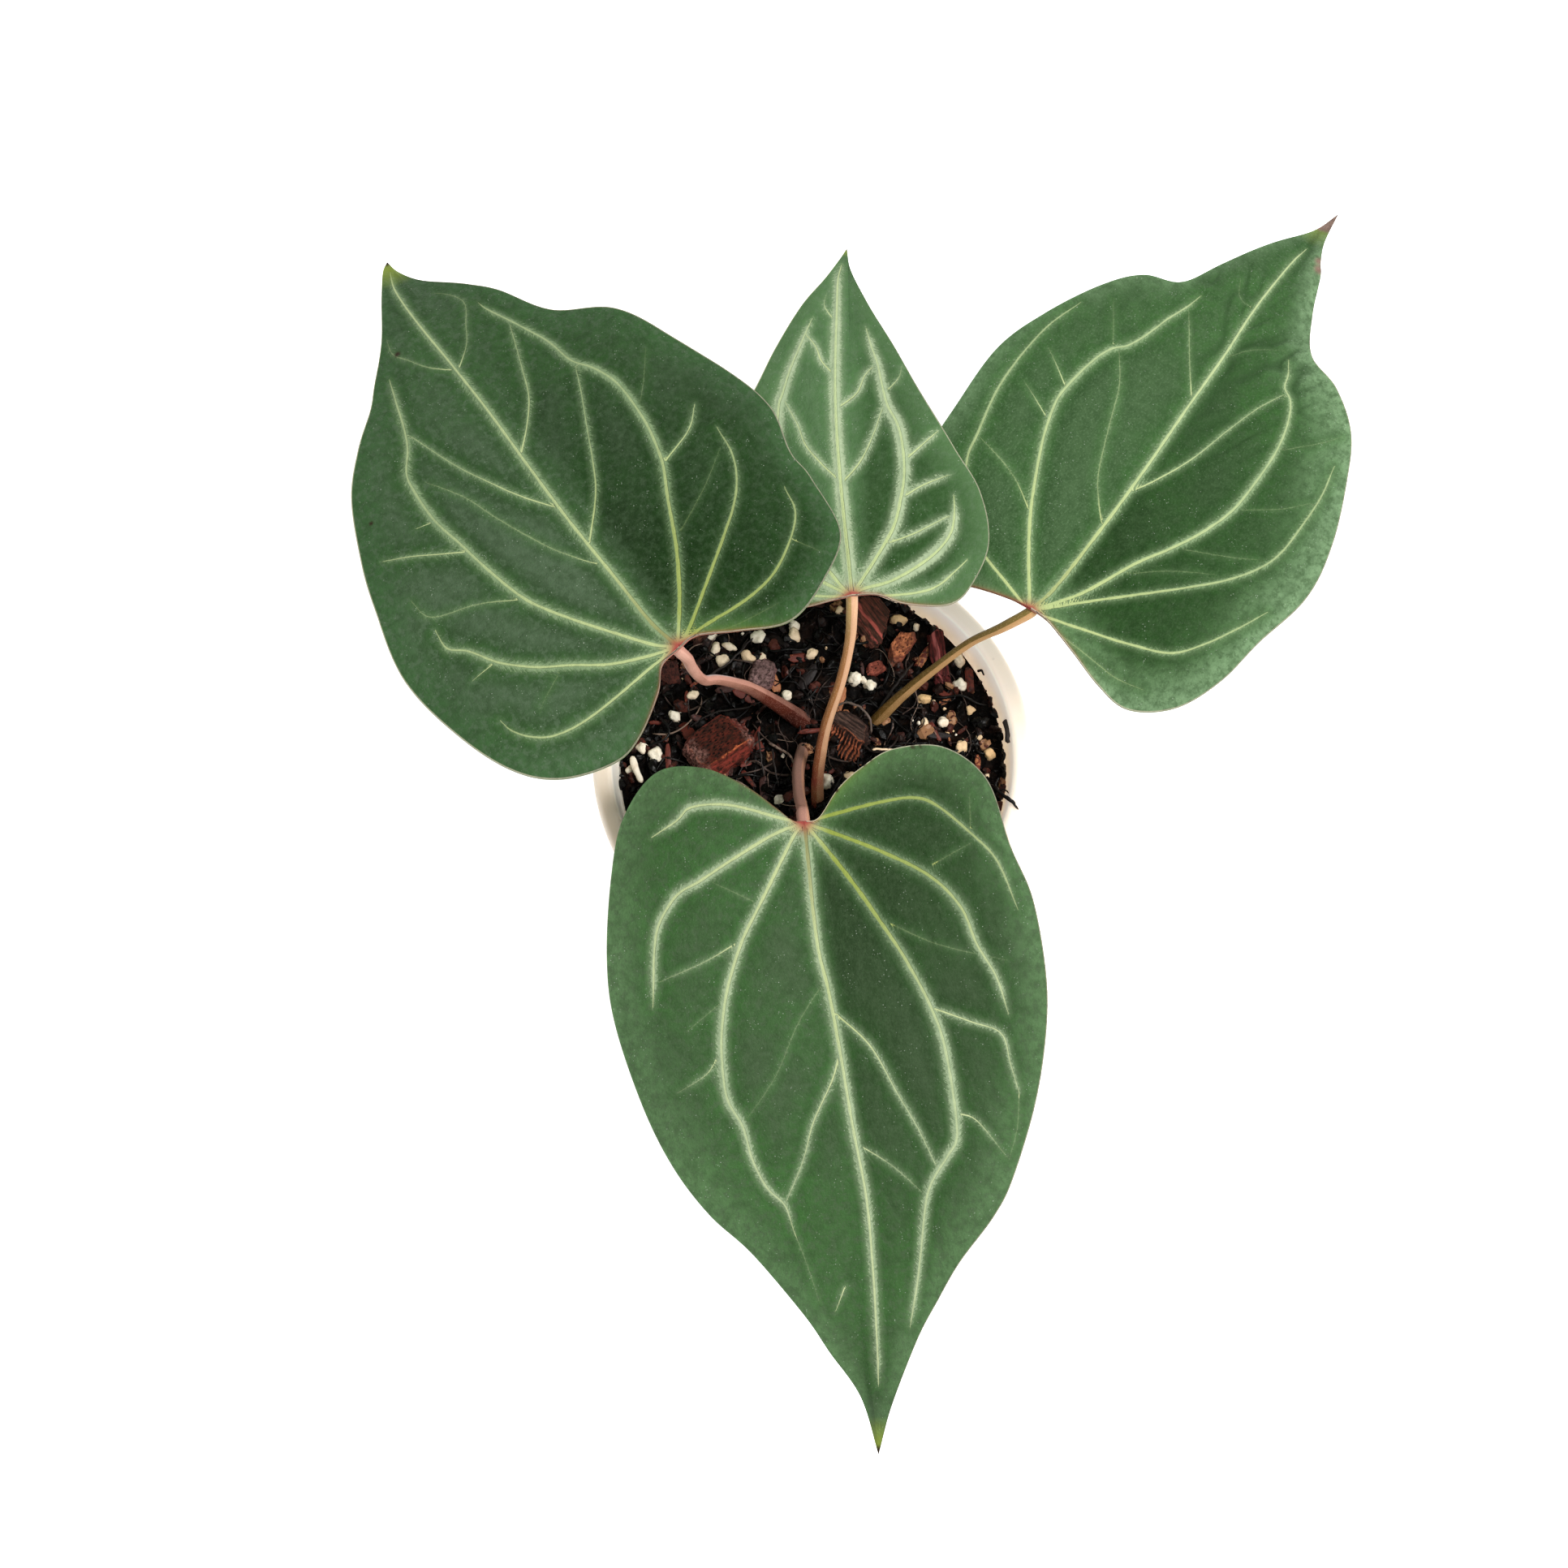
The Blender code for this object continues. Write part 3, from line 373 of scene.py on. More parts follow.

# %% [markdown]
# The pale veins are what one sees first. Seven main veins leave the stalk together and arch through the
# blade towards its tip, and finer ones cross between them. They could be drawn by a branching rule, but
# each leaf of the plant has its own net, so each vein is a short line given point by point, with a width at
# its start and end.

# %% Veins of the four blades
# Each vein: kind, then its points. Main veins are broad, cross veins slimmer, hair veins fine and green.
VEINS = {
    "leaf_front": (
        ("rib", ((0, 0), (30, -0.5), (45, 1), (60, 2), (80, 3), (100, 4.4), (120, 3.9), (140, 2.8),
                 (151, 2))),
        ("main", ((0, 0), (3, 2), (16, 10), (29, 17), (39, 22), (52, 27), (64, 29.5), (85, 30), (91, 27),
                  (96, 23), (102, 20), (116, 17), (125, 15), (136, 12))),
        ("main", ((0, 0), (4, 8), (10.5, 20), (18, 31), (27, 38), (37, 41), (46, 45), (56, 47))),
        ("green", ((0, 0), (-1, 6), (-3, 21), (-3, 30), (0, 35.5), (8, 43), (16, 49), (29, 53))),
        ("main", ((0, 0), (3, -3), (10.5, -8), (20.5, -14.5), (29, -20), (39, -24.5), (47, -27),
                  (57, -28.7), (69, -28.7), (77, -25.5), (86, -24), (94, -21), (99, -17), (106, -15.5))),
        ("main", ((0, 0), (2, -8), (7, -19), (12, -29), (15, -35.5), (22, -41), (29, -43), (36, -44),
                  (43, -45))),
        ("main", ((0, 0), (-2, -6), (-7, -19), (-7.5, -29), (-4.5, -33), (-1, -40))),
        ("cross", ((50, 1.6), (60, 10), (73, 15.5), (82, 19.5), (89, 22), (95, 24))),
        ("cross", ((62, 1.5), (68, -1), (78, -7), (88, -11), (98, -16.5))),
        ("cross", ((52, 27), (57, 37), (61, 44.5), (69, 46), (77, 47.5))),
        ("thin", ((85, 3.5), (92, 12), (100.5, 19.5))),
        ("thin", ((80.5, 31), (83, 35.5), (93, 42))),
        ("thin", ((56, -28.7), (62, -33), (66, -41))),
        ("thin", ((29, -21), (33, -30), (37, -43))),
        ("thin", ((123, -4), (129, -7))),
        ("hair", ((42, 0), (52, -8), (65, -15.5), (76, -25))),
        ("hair", ((44, -27), (50.5, -37))),
        ("hair", ((29, 19), (36, 31), (42, 48))),
        ("hair", ((15, 32), (10.5, 43))),
        ("hair", ((106, -15.5), (116, -13), (126, -11))),
        ("hair", ((77, 47.5), (86, 46), (94, 43))),
        ("hair", ((20, -14), (12, -27))),
        ("hair", ((8, 43), (-2, 44))),
    ),
    "leaf_left": (
        ("rib", ((0, 0), (10, 2.2), (24, 3), (47, 4.2), (69, 4.4), (91, 4.2), (113, 4.4), (135, 4.7),
                 (152, 3.9), (162, 1.5))),
        ("main", ((0, 0), (4, 5), (13, 12), (24, 20), (34, 25.5), (47, 29), (58, 31), (69, 33), (80, 33),
                  (87, 32), (94, 28), (101, 25.5), (111, 23), (121, 20.5))),
        ("main", ((0, 0), (2, 8), (5.5, 17), (11, 25.5), (15.5, 33), (22, 40), (30, 45), (34, 49),
                  (40, 49))),
        ("green", ((0, 0), (-1, 8), (-3, 20), (-4, 31), (-3, 39), (0, 44), (4, 47), (8, 48))),
        ("main", ((0, 0), (3, -2), (12, -8), (24, -14.5), (37, -20), (47, -24.5), (57, -27), (65.5, -28),
                  (77, -28), (85.5, -25.5), (92, -22), (102, -20.5), (110, -18), (124, -13), (129, -12))),
        ("green", ((0, 0), (3, -5.5), (10, -14.5), (18, -24.5), (25.5, -33), (32, -38), (39, -41),
                   (48, -42))),
        ("green", ((0, 0), (1, -8), (1, -21), (3, -31), (9, -40), (15.5, -45.5), (23, -47))),
        ("cross", ((52, 4.2), (62, 11), (74, 17), (84, 21), (99, 25.5))),
        ("cross", ((38, 3.6), (50, -5.5), (59, -10), (70, -14.5), (81, -19), (91, -22.5))),
        ("cross", ((73, 4.4), (81, -2), (89, -7), (98, -10), (108, -13), (115, -15))),
        ("cross", ((55, 30.5), (59, 37), (63, 43), (67, 50))),
        ("cross", ((47, -24.5), (52, -35.5), (58, -41))),
        ("thin", ((30, 3.2), (36, 8), (44, 13), (58, 19), (70, 23), (81, 29))),
        ("thin", ((111, 4.4), (117, 10), (123, 13), (129, 15.5), (135.5, 14.4))),
        ("thin", ((110, 4.4), (117, -2), (124, -5.5), (132, -9), (139, -7), (143, -4.5))),
        ("thin", ((34, 25.5), (40, 37), (44, 48), (51, 50))),
        ("thin", ((69, 33), (70, 38))),
        ("thin", ((23, 41), (22, 48))),
        ("hair", ((65.5, -28), (73, -34), (82, -40))),
        ("hair", ((25.5, -15), (34, -29), (42, -39))),
        ("hair", ((0, -6), (-3, -14), (-4.5, -27))),
        ("hair", ((12, 27), (5, 38))),
        ("hair", ((9, -40), (2, -44))),
    ),
    "leaf_right": (
        ("rib", ((0, 0), (10, -2), (32, -2.6), (55, -2.4), (77, -1.5), (100, -0.7), (122, 0.8), (145, 1.1),
                 (156, 0.4))),
        ("main", ((0, 0), (4, 2.5), (12, 8), (23.5, 15), (35, 20.5), (46, 25), (57, 28), (65, 28), (74, 27),
                  (81, 25), (85, 22), (93, 19.5), (101, 18), (109, 16), (115, 15))),
        ("green", ((0, 0), (3, 9), (7, 20), (14, 30), (27, 37.5), (35, 39.5), (49, 42.5), (63, 43.5),
                   (77, 43), (89, 40))),
        ("main", ((0, 0), (4, -3), (13, -9), (28, -15.5), (38, -21), (47, -25), (58, -28), (70, -28.5),
                  (82, -28), (92, -26), (99, -23), (102, -19.5), (107, -18), (112, -15.5))),
        ("green", ((0, 0), (4, -4), (13, -13), (22, -22), (30, -30), (38, -37), (47, -42.5), (55, -45),
                   (66, -45.4), (77.5, -45), (89, -43))),
        ("green", ((0, 0), (1, -4), (4, -15.5), (8, -28), (12, -37), (19, -42.5), (28, -47), (38, -51))),
        ("thin", ((0, 0), (-2, -22), (-2.4, -29), (-1, -36))),
        ("thin", ((32, -2.6), (38, 2.5), (45, 7), (59.5, 12.5), (72, 17), (82, 23))),
        ("cross", ((45, -2.5), (53, -6.5), (65, -11), (79, -14), (91, -17), (100, -20.5))),
        ("thin", ((23.5, 15), (30, 25), (35, 39))),
        ("thin", ((81, -1.4), (94, 7), (108, 15))),
        ("thin", ((62, 28), (70, 38.5))),
        ("thin", ((50, 26), (56, 37.5))),
        ("hair", ((82, 25), (95.5, 33))),
        ("hair", ((122, 1), (122.5, 6), (128, 9))),
        ("hair", ((38, -21), (44, -33), (50, -42))),
        ("hair", ((58, -28), (66, -38), (74, -44))),
        ("hair", ((20, -11), (30, -22), (38, -34))),
        ("hair", ((82, -28), (92, -36), (99, -40))),
        ("hair", ((100, -0.7), (108, -6), (114, -13))),
    ),
    "leaf_back": (
        ("rib", ((0, 0), (9, 0.8), (22, 2), (38, 3.2), (55, 3.9), (72, 3.75), (88, 3.2), (101, 2.7),
                 (108, 1.6))),
        ("main", ((0, 0), (3, -1.7), (11, -6.7), (19, -11), (27, -13), (34, -14), (42, -13.75), (49, -12.5),
                  (55, -10), (61, -8.75), (69, -7.5), (75, -6), (82, -4.6))),
        ("main", ((0, 0), (2, -3), (4, -10), (8, -17), (12.5, -22.5), (17.5, -26), (23, -27), (28, -27))),
        ("green", ((0, 0), (0, -8), (1, -17), (3, -22.5), (7, -27), (10, -30))),
        ("main", ((0, 0), (3, 3), (11, 9), (19, 14), (27, 17), (35, 18.6), (45, 19.4), (55, 19), (59, 18),
                  (67, 16), (73, 14), (79, 12), (85, 10))),
        ("main", ((0, 0), (4, 8), (8, 15), (13, 21), (18, 25), (25, 27), (33, 27))),
        ("green", ((0, 0), (0, 8), (1, 16), (4, 23), (8, 28))),
        ("cross", ((14, -8), (17, -16), (22.5, -26))),
        ("cross", ((27, -13), (31, -19), (34, -25.5))),
        ("cross", ((38, -14), (43, -19), (47, -23))),
        ("cross", ((31, 2.8), (38, -2.5), (46, -6), (52.5, -8), (57, -9.5))),
        ("cross", ((54, 3.9), (59, -1.7), (65, -4), (69, -7))),
        ("cross", ((32, 2.8), (37.5, 8), (43, 12), (49, 14), (58, 18))),
        ("cross", ((65, 3.9), (70, 7.5), (75, 9), (80, 12))),
        ("cross", ((14, 10.5), (19, 19), (22, 26))),
        ("cross", ((27, 17), (31, 22), (35, 26))),
        ("thin", ((45, 19.4), (51, 23), (54, 26))),
        ("thin", ((59, -9), (64, -13), (68, -14))),
        ("thin", ((84, 3.4), (90, 6.5), (95, 6))),
    ),
}
# Half widths of the pale band at its start, where it is widest and at its end, half width of the core,
# height of the ridge, paleness
VEIN_KINDS = {
    "rib": (1.50, 1.32, 0.78, 0.48, 0.42, 1.0),
    "main": (1.25, 1.40, 0.72, 0.46, 0.34, 0.95),
    "green": (1.00, 0.95, 0.45, 0.42, 0.30, 0.70),
    "cross": (0.85, 0.75, 0.50, 0.25, 0.16, 0.80),
    "thin": (0.50, 0.44, 0.30, 0.20, 0.10, 0.60),
    "hair": (0.20, 0.20, 0.12, 0.15, 0.05, 0.22),
}
WIDEST = 0.6

# %% [markdown]
# A blade's net of points has to be even, or veins would show steps. Rings round one point waste most of
# their points in the middle. A square net bent onto the heart keeps its cells alike: squares of growing
# size become rings of growing share of the outline, so each corner of a cell has only four neighbours
# everywhere.

# %% Blade surface


def blade_outline(leaf, count):
    """Places at even distances along the outline: half of them from the tip along the left edge to the
    sinus, the others back along the right edge."""
    sinus = (0.5 * (leaf["left"][0][0] + leaf["right"][0][0]) + 0.6, 0.0)
    left = evenly((leaf["tip"], *reversed(leaf["left"]), sinus), count // 2 + 1)
    right = evenly((sinus, *leaf["right"], leaf["tip"]), count // 2 + 1)
    return np.vstack((left[:-1], right[:-1]))


def heart_net(leaf, cells):
    """Flat points of a square net bent onto the heart, with how far out and how far round each one lies.

    The net's corner distance from its middle is the share of the way from the leaf's centre to the outline,
    and the place along the square's edge is the place along the outline."""
    line = np.linspace(-1.0, 1.0, cells + 1)
    x, y = np.meshgrid(line, line, indexing="ij")
    share = np.maximum(np.abs(x), np.abs(y))
    safe = np.where(share == 0, 1.0, share)
    side = np.where(x == share, 0, np.where(y == share, 1, np.where(-x == share, 2, 3)))
    along = np.choose(side, (y, -x, -y, x)) / safe
    place = ((side + 0.5 * along) / 4) % 1.0
    outline = blade_outline(leaf, 4 * cells)
    where = place * len(outline)
    low = np.floor(where).astype(int) % len(outline)
    blend = (where - np.floor(where))[..., None]
    edge = outline[low] * (1 - blend) + outline[(low + 1) % len(outline)] * blend
    centre = np.array((leaf["centre"], 0.0))
    flat = centre + share[..., None] * (edge - centre)
    return flat.reshape(-1, 2), share.ravel(), place.ravel()


def lay(leaf, flat, lift):
    """Flat places on the leaf's curved surface, raised by lift along the blade's normal.

    Along the midrib the blade bends down as a circular arc; across it the blade folds up from the midrib
    and cups down again towards the edge."""
    heading, pitch = math.radians(leaf["heading"]), math.radians(leaf["pitch"])
    ahead = np.array((math.cos(heading), math.sin(heading), 0.0))
    side = np.array((-ahead[1], ahead[0], 0.0))
    up = np.array((0.0, 0.0, 1.0))
    forward = math.cos(pitch) * ahead + math.sin(pitch) * up
    normal = math.cos(pitch) * up - math.sin(pitch) * ahead
    a, b = flat.T
    bend = np.where(a >= 0, leaf["arch"], leaf["lobe_arch"])
    along = np.sin(bend * a) / bend
    rise = -(1 - np.cos(bend * a)) / bend + lift - leaf["cup"] * b ** 2 / 2
    rise += leaf["fold"] * (np.sqrt(b ** 2 + FOLD_ROUND ** 2) - FOLD_ROUND)
    return np.array(leaf["base"]) + np.outer(along, forward) + np.outer(b, side) + np.outer(rise, normal)


# %% [markdown]
# Each point of the blade has to know the nearest vein: how far off it is, how wide that vein is there, and
# how far along it lies. All veins are cut into short straight bits, and arrays of every point against
# every bit give the answer at once, a few thousand points at a time.

# %% Distance to the veins
VEIN_STEP = 1.2
AT_ONCE = 4000
TAPER = 7.0
CROSS_TAPER = 2.0
OLIVE_LENGTH = 26.0
STRONG_RIDGE = 0.12
RIDGE_SPREAD = 1.7
# How clear the core stays at the end of a vein, and over how many millimetres it fades to that
CLEARNESS = {
    "rib": (0.80, 170.0), "main": (0.50, 120.0), "green": (0.45, 90.0), "cross": (0.38, 40.0),
    "thin": (0.24, 10.0), "hair": (0.10, 1.0),
}


def vein_bits(veins, wider):
    """Every vein cut into short bits: start, end, distance along the vein, half widths of band and core,
    height of the ridge, paleness, how olive the core is, which is only so low on the midrib, and how clear
    the core is, which fades out along the side veins. Towards its end a vein tapers, a cross vein only at
    the very end."""
    bits = []
    for kind, points in veins:
        first, middle, last, core, ridge, pale = VEIN_KINDS[kind]
        length = np.linalg.norm(np.diff(points, axis=0), axis=1).sum()
        line = evenly(points, max(3, int(length / VEIN_STEP)))
        share = np.linspace(0.0, 1.0, len(line))[:-1]
        end = np.minimum(1.0, (1 - share) * length / (CROSS_TAPER if kind == "cross" else TAPER))
        band = wider * np.interp(share, (0.0, WIDEST, 1.0), (first, middle, last)) * (0.35 + 0.65 * end)
        width = core * (1 - 0.45 * share) * (0.5 + 0.5 * end)
        pale = pale * (0.35 + 0.65 * end)
        olive = held(1.2 - share * length / OLIVE_LENGTH) * (kind == "rib")
        faint, reach = CLEARNESS[kind]
        clear = np.clip(1.15 - share * length / reach, faint, 1.0)
        columns = (line[:-1], line[1:], share * length, band, width, ridge * end, pale, olive, clear)
        bits.append(np.column_stack(columns))
    return np.vstack(bits)


def near_veins(flat, bits):
    """For each flat point, the signed and the plain distance to the vein whose band it is deepest in, the
    distance along that vein, its band and core widths, its paleness, its core's olive tone and clearness,
    then the height of the ridge and the distance to the nearest strong vein.

    The sign of the distance tells the side, so that it passes evenly through zero on the vein itself and
    the finish finds the line sharply between the points of the net."""
    bits = bits.astype(np.float32)
    start_x, start_y, end_x, end_y, length, band, core_width, ridge_height, pale, olive, clear = bits.T
    run_x, run_y = end_x - start_x, end_y - start_y
    span = run_x ** 2 + run_y ** 2
    strong = ridge_height > STRONG_RIDGE
    out = []
    for first in range(0, len(flat), AT_ONCE):
        part = flat[first:first + AT_ONCE].astype(np.float32)
        x, y = part[:, 0:1] - start_x, part[:, 1:2] - start_y
        t = held((x * run_x + y * run_y) / span)
        square = (x - t * run_x) ** 2 + (y - t * run_y) ** 2
        distance = np.sqrt(square)
        best = (band - distance).argmax(axis=1)
        row = np.arange(len(best))
        gap = distance[row, best]
        turn = x[row, best] * run_y[best] - y[row, best] * run_x[best]
        ridge = (ridge_height * np.exp(-square / (RIDGE_SPREAD * core_width) ** 2)).max(axis=1)
        away = distance[:, strong].min(axis=1)
        side = np.where(turn < 0, -gap, gap)
        along = length[best] + t[row, best] * np.sqrt(span[best])
        kept = (column[best] for column in (band, core_width, pale, olive, clear))
        out.append(np.column_stack((side, gap, along, *kept, ridge, away)))
    return np.vstack(out)


# %% [markdown]
# The top of a velvety leaf is dark green and hardly shines. The band along each vein has a feathered edge,
# because the silvery cells thin out in streaks that lean forward. Painting that needs the map made above:
# noise that is fine along the vein and long across it pushes the band's edge in and out, and broader noise
# gathers the streaks into tufts. The window's light is painted in as well: on the half of a blade that leans
# towards it, painted sheen makes the bands paler and lays greyish sheen between the veins; on the half that
# leans away, painted shade makes the skin darker, the bands greener and the cores lime, and the skin beside
# the stalk turns lime too. Painted shade darkens the creases into dark lines, and a few specks of dust lie
# over it all.

# %% Finish of the leaves
# Dark, fresh and grey_sheen green, the band, the core and the outer green; grey_sheen is a greyish green
# that stands for the velvet's painted sheen, and the core is the copy on the half that faces the window
# silver_and_sheen and shade: how silvery the bands are, partly painted sheen, and how much painted shade the
# skin has, left and right of the midrib
# reach: how far in the outer green comes; calm: by how much it falls short of that, left and right; on the
# right leaf calm leaves a paler outer zone only on its right half, which is partly a painted lit facet
# tufts: how tufted the bands are; olive: how olive the core of the midrib is near the stalk
LEAF_LOOKS = {
    "leaf_left": dict(
        dark=(0.017, 0.036, 0.013), fresh=(0.024, 0.068, 0.017), grey_sheen=(0.052, 0.084, 0.046),
        band=(0.165, 0.230, 0.123), core=(0.35, 0.41, 0.205), outer=(0.028, 0.074, 0.023),
        silver_and_sheen=(1.0, 0.42), shade=(0.0, 1.0), reach=13.0, calm=(0.0, 0.0), tufts=2.4, olive=0.8),
    "leaf_back": dict(
        dark=(0.042, 0.088, 0.034), fresh=(0.055, 0.125, 0.043), grey_sheen=(0.066, 0.116, 0.056),
        band=(0.275, 0.335, 0.215), core=(0.36, 0.43, 0.215), outer=(0.052, 0.105, 0.040),
        silver_and_sheen=(1.0, 1.0), shade=(0.08, 0.95), reach=15.0, calm=(0.0, 0.0), tufts=2.4, olive=0.15),
    "leaf_right": dict(
        dark=(0.017, 0.042, 0.013), fresh=(0.029, 0.084, 0.020), grey_sheen=(0.038, 0.075, 0.030),
        band=(0.190, 0.262, 0.142), core=(0.39, 0.46, 0.235), outer=(0.138, 0.224, 0.118),
        silver_and_sheen=(0.85, 0.85), shade=(0.0, 0.85), reach=21.0, calm=(11.0, 0.0), tufts=0.9, olive=0.4),
    "leaf_front": dict(
        dark=(0.020, 0.041, 0.015), fresh=(0.027, 0.080, 0.019), grey_sheen=(0.040, 0.068, 0.032),
        band=(0.240, 0.300, 0.188), core=(0.37, 0.42, 0.225), outer=(0.066, 0.128, 0.053),
        silver_and_sheen=(0.28, 1.0), shade=(0.68, 0.10), reach=17.0, calm=(0.0, 1.0), tufts=1.1, olive=0.9),
}
ROSE = (0.22, 0.042, 0.034)
OLIVE = (0.115, 0.092, 0.022)
# core and skin colours on the half that leans away from the window, painted shade
SHADED_LIME = (0.165, 0.205, 0.028)
SHADED_FLUSH = (0.064, 0.140, 0.019)
EDGE_PALE = (0.36, 0.34, 0.25)
TIP_LIME = (0.17, 0.22, 0.028)
TIP_BLACK = (0.020, 0.011, 0.006)
TIP_BROWN = (0.17, 0.11, 0.085)
DUST = (0.30, 0.34, 0.28)
SHADE = (0.25, 0.35, 0.20)
UNDER_GREEN = (0.060, 0.115, 0.042)
UNDER_PALE = (0.080, 0.145, 0.055)
UNDER_VEIN = (0.17, 0.22, 0.10)
NET_BLUR = 0.42


def leaf_skin(paint, look, inside, broad, fine, grain, mottle, hammer):
    """The green between the veins: fresh clouds and painted greyish sheen, a paler zone along the edge,
    fresher green beside each band, fine mottling, painted shade on one half with hammered mottling in it,
    painted shade in the creases and painted yellow-green beside the stalk on the shaded half."""
    shade = paint.attribute("shade")
    green = paint.mix(paint.ramp(broad, 0.34, 0.66), look["dark"], look["fresh"])
    # painted sheen: greyish green in the cushions between the veins on the half that faces the window
    grey_sheen = paint.times(paint.ramp(paint.attribute("away"), 2.0, 8.5), paint.attribute("silver_and_sheen"))
    green = paint.mix(paint.times(grey_sheen, paint.ramp(broad, 0.66, 0.38, 0.2, 0.9)), green, look["grey_sheen"])
    # on the right leaf the paler outer zone lies only on its right half and is partly a painted lit facet
    zone = paint.ramp(paint.attribute("near_edge"), look["reach"], 1.0, 0.0, 0.85)
    green = paint.mix(zone, green, look["outer"])
    green = paint.mix(paint.ramp(inside, -3.6, 0.0, 0.0, 0.62), green, look["fresh"])
    green = paint.mix(paint.ramp(fine, 0.34, 0.72, 0.0, 0.6), green, look["dark"])
    green = paint.mix(paint.ramp(mottle, 0.47, 0.64, 0.0, 0.65), green, look["grey_sheen"])
    green = paint.mix(paint.ramp(grain, 0.48, 0.80, 0.0, 0.22), green, look["outer"])
    # painted shade on the half that leans away from the window, with hammered mottling that grows with it
    green = paint.mix(shade, green, SHADE, "MULTIPLY")
    uneven = paint.times(paint.ramp(hammer, 0.44, 0.68), paint.ramp(shade, 0.0, 0.7, 0.16, 0.24))
    green = paint.mix(uneven, green, look["grey_sheen"])
    # painted shade in the valleys of the creases
    green = paint.mix(paint.times(paint.attribute("crease_shade"), 0.7), green, look["dark"])
    # painted shade: yellow-green skin beside the stalk on the half that leans away from the window
    return paint.mix(paint.attribute("shaded_flush"), green, SHADED_FLUSH)


def leaf_bands(paint, look, green, inside, flat, fine, grain):
    """The pale bands over the green: the depth inside a band, pushed in and out by streaks, tufts and grain,
    gives its feathered edge, and a faint glow lies round it. The bands are palest where the silvery value is
    high, which on one half of each blade is partly painted sheen."""
    # paleness times the silvery value, which is partly painted sheen on the half that faces the window
    pale = paint.times(paint.attribute("pale"), paint.attribute("silver_and_sheen"))
    streak = paint.noise(1.0, 4.0, paint.map("feather"), (3.3, 0.50, 1.0), 0.78)
    tuft = paint.ramp(paint.noise(80.0, 2.0, flat), 0.44, 0.70, 0.8, 1.0 + look["tufts"])
    shift = paint.times(paint.ramp(streak, 0.26, 0.76, -0.42, 0.42), tuft)
    shift = paint.plus(shift, paint.ramp(grain, 0.25, 0.75, -0.28, 0.28))
    halo = paint.ramp(paint.plus(inside, shift), -0.50, 0.85)
    halo = paint.math("MAXIMUM", halo, paint.ramp(inside, -1.8, 0.6, 0.0, 0.26))
    band = paint.mix(pale, paint.mix(0.45, look["fresh"], look["band"]), look["band"])
    band = paint.mix(paint.ramp(fine, 0.3, 0.7, 0.0, 0.24), band, look["fresh"])
    return paint.mix(paint.times(halo, paint.ramp(pale, 0.0, 1.0, 0.50, 0.93)), green, band)


def leaf_marks(paint, green, flat, fine):
    """What lies over the velvet: rose beside the stalk, dust, the pale edge, the lime tip and its end."""
    green = paint.mix(paint.attribute("rose"), green, ROSE)
    rare = paint.ramp(paint.noise(230.0, 4.0, flat, roughness=0.7), 0.51, 0.63)
    dust = paint.times(paint.ramp(paint.dots(1250.0, flat), 0.23, 0.07), rare)
    green = paint.mix(paint.times(dust, 0.55), green, DUST)
    green = paint.mix(paint.ramp(paint.attribute("near_edge"), 0.40, 0.10, 0.0, 0.75), green, EDGE_PALE)
    green = paint.mix(paint.attribute("tip_tone"), green, TIP_LIME)
    dry = paint.mix(paint.attribute("brown"), TIP_BLACK, TIP_BROWN)
    dry = paint.mix(paint.ramp(fine, 0.4, 0.7, 0.0, 0.5), dry, TIP_BLACK)
    return paint.mix(paint.attribute("tip_dry"), green, dry)


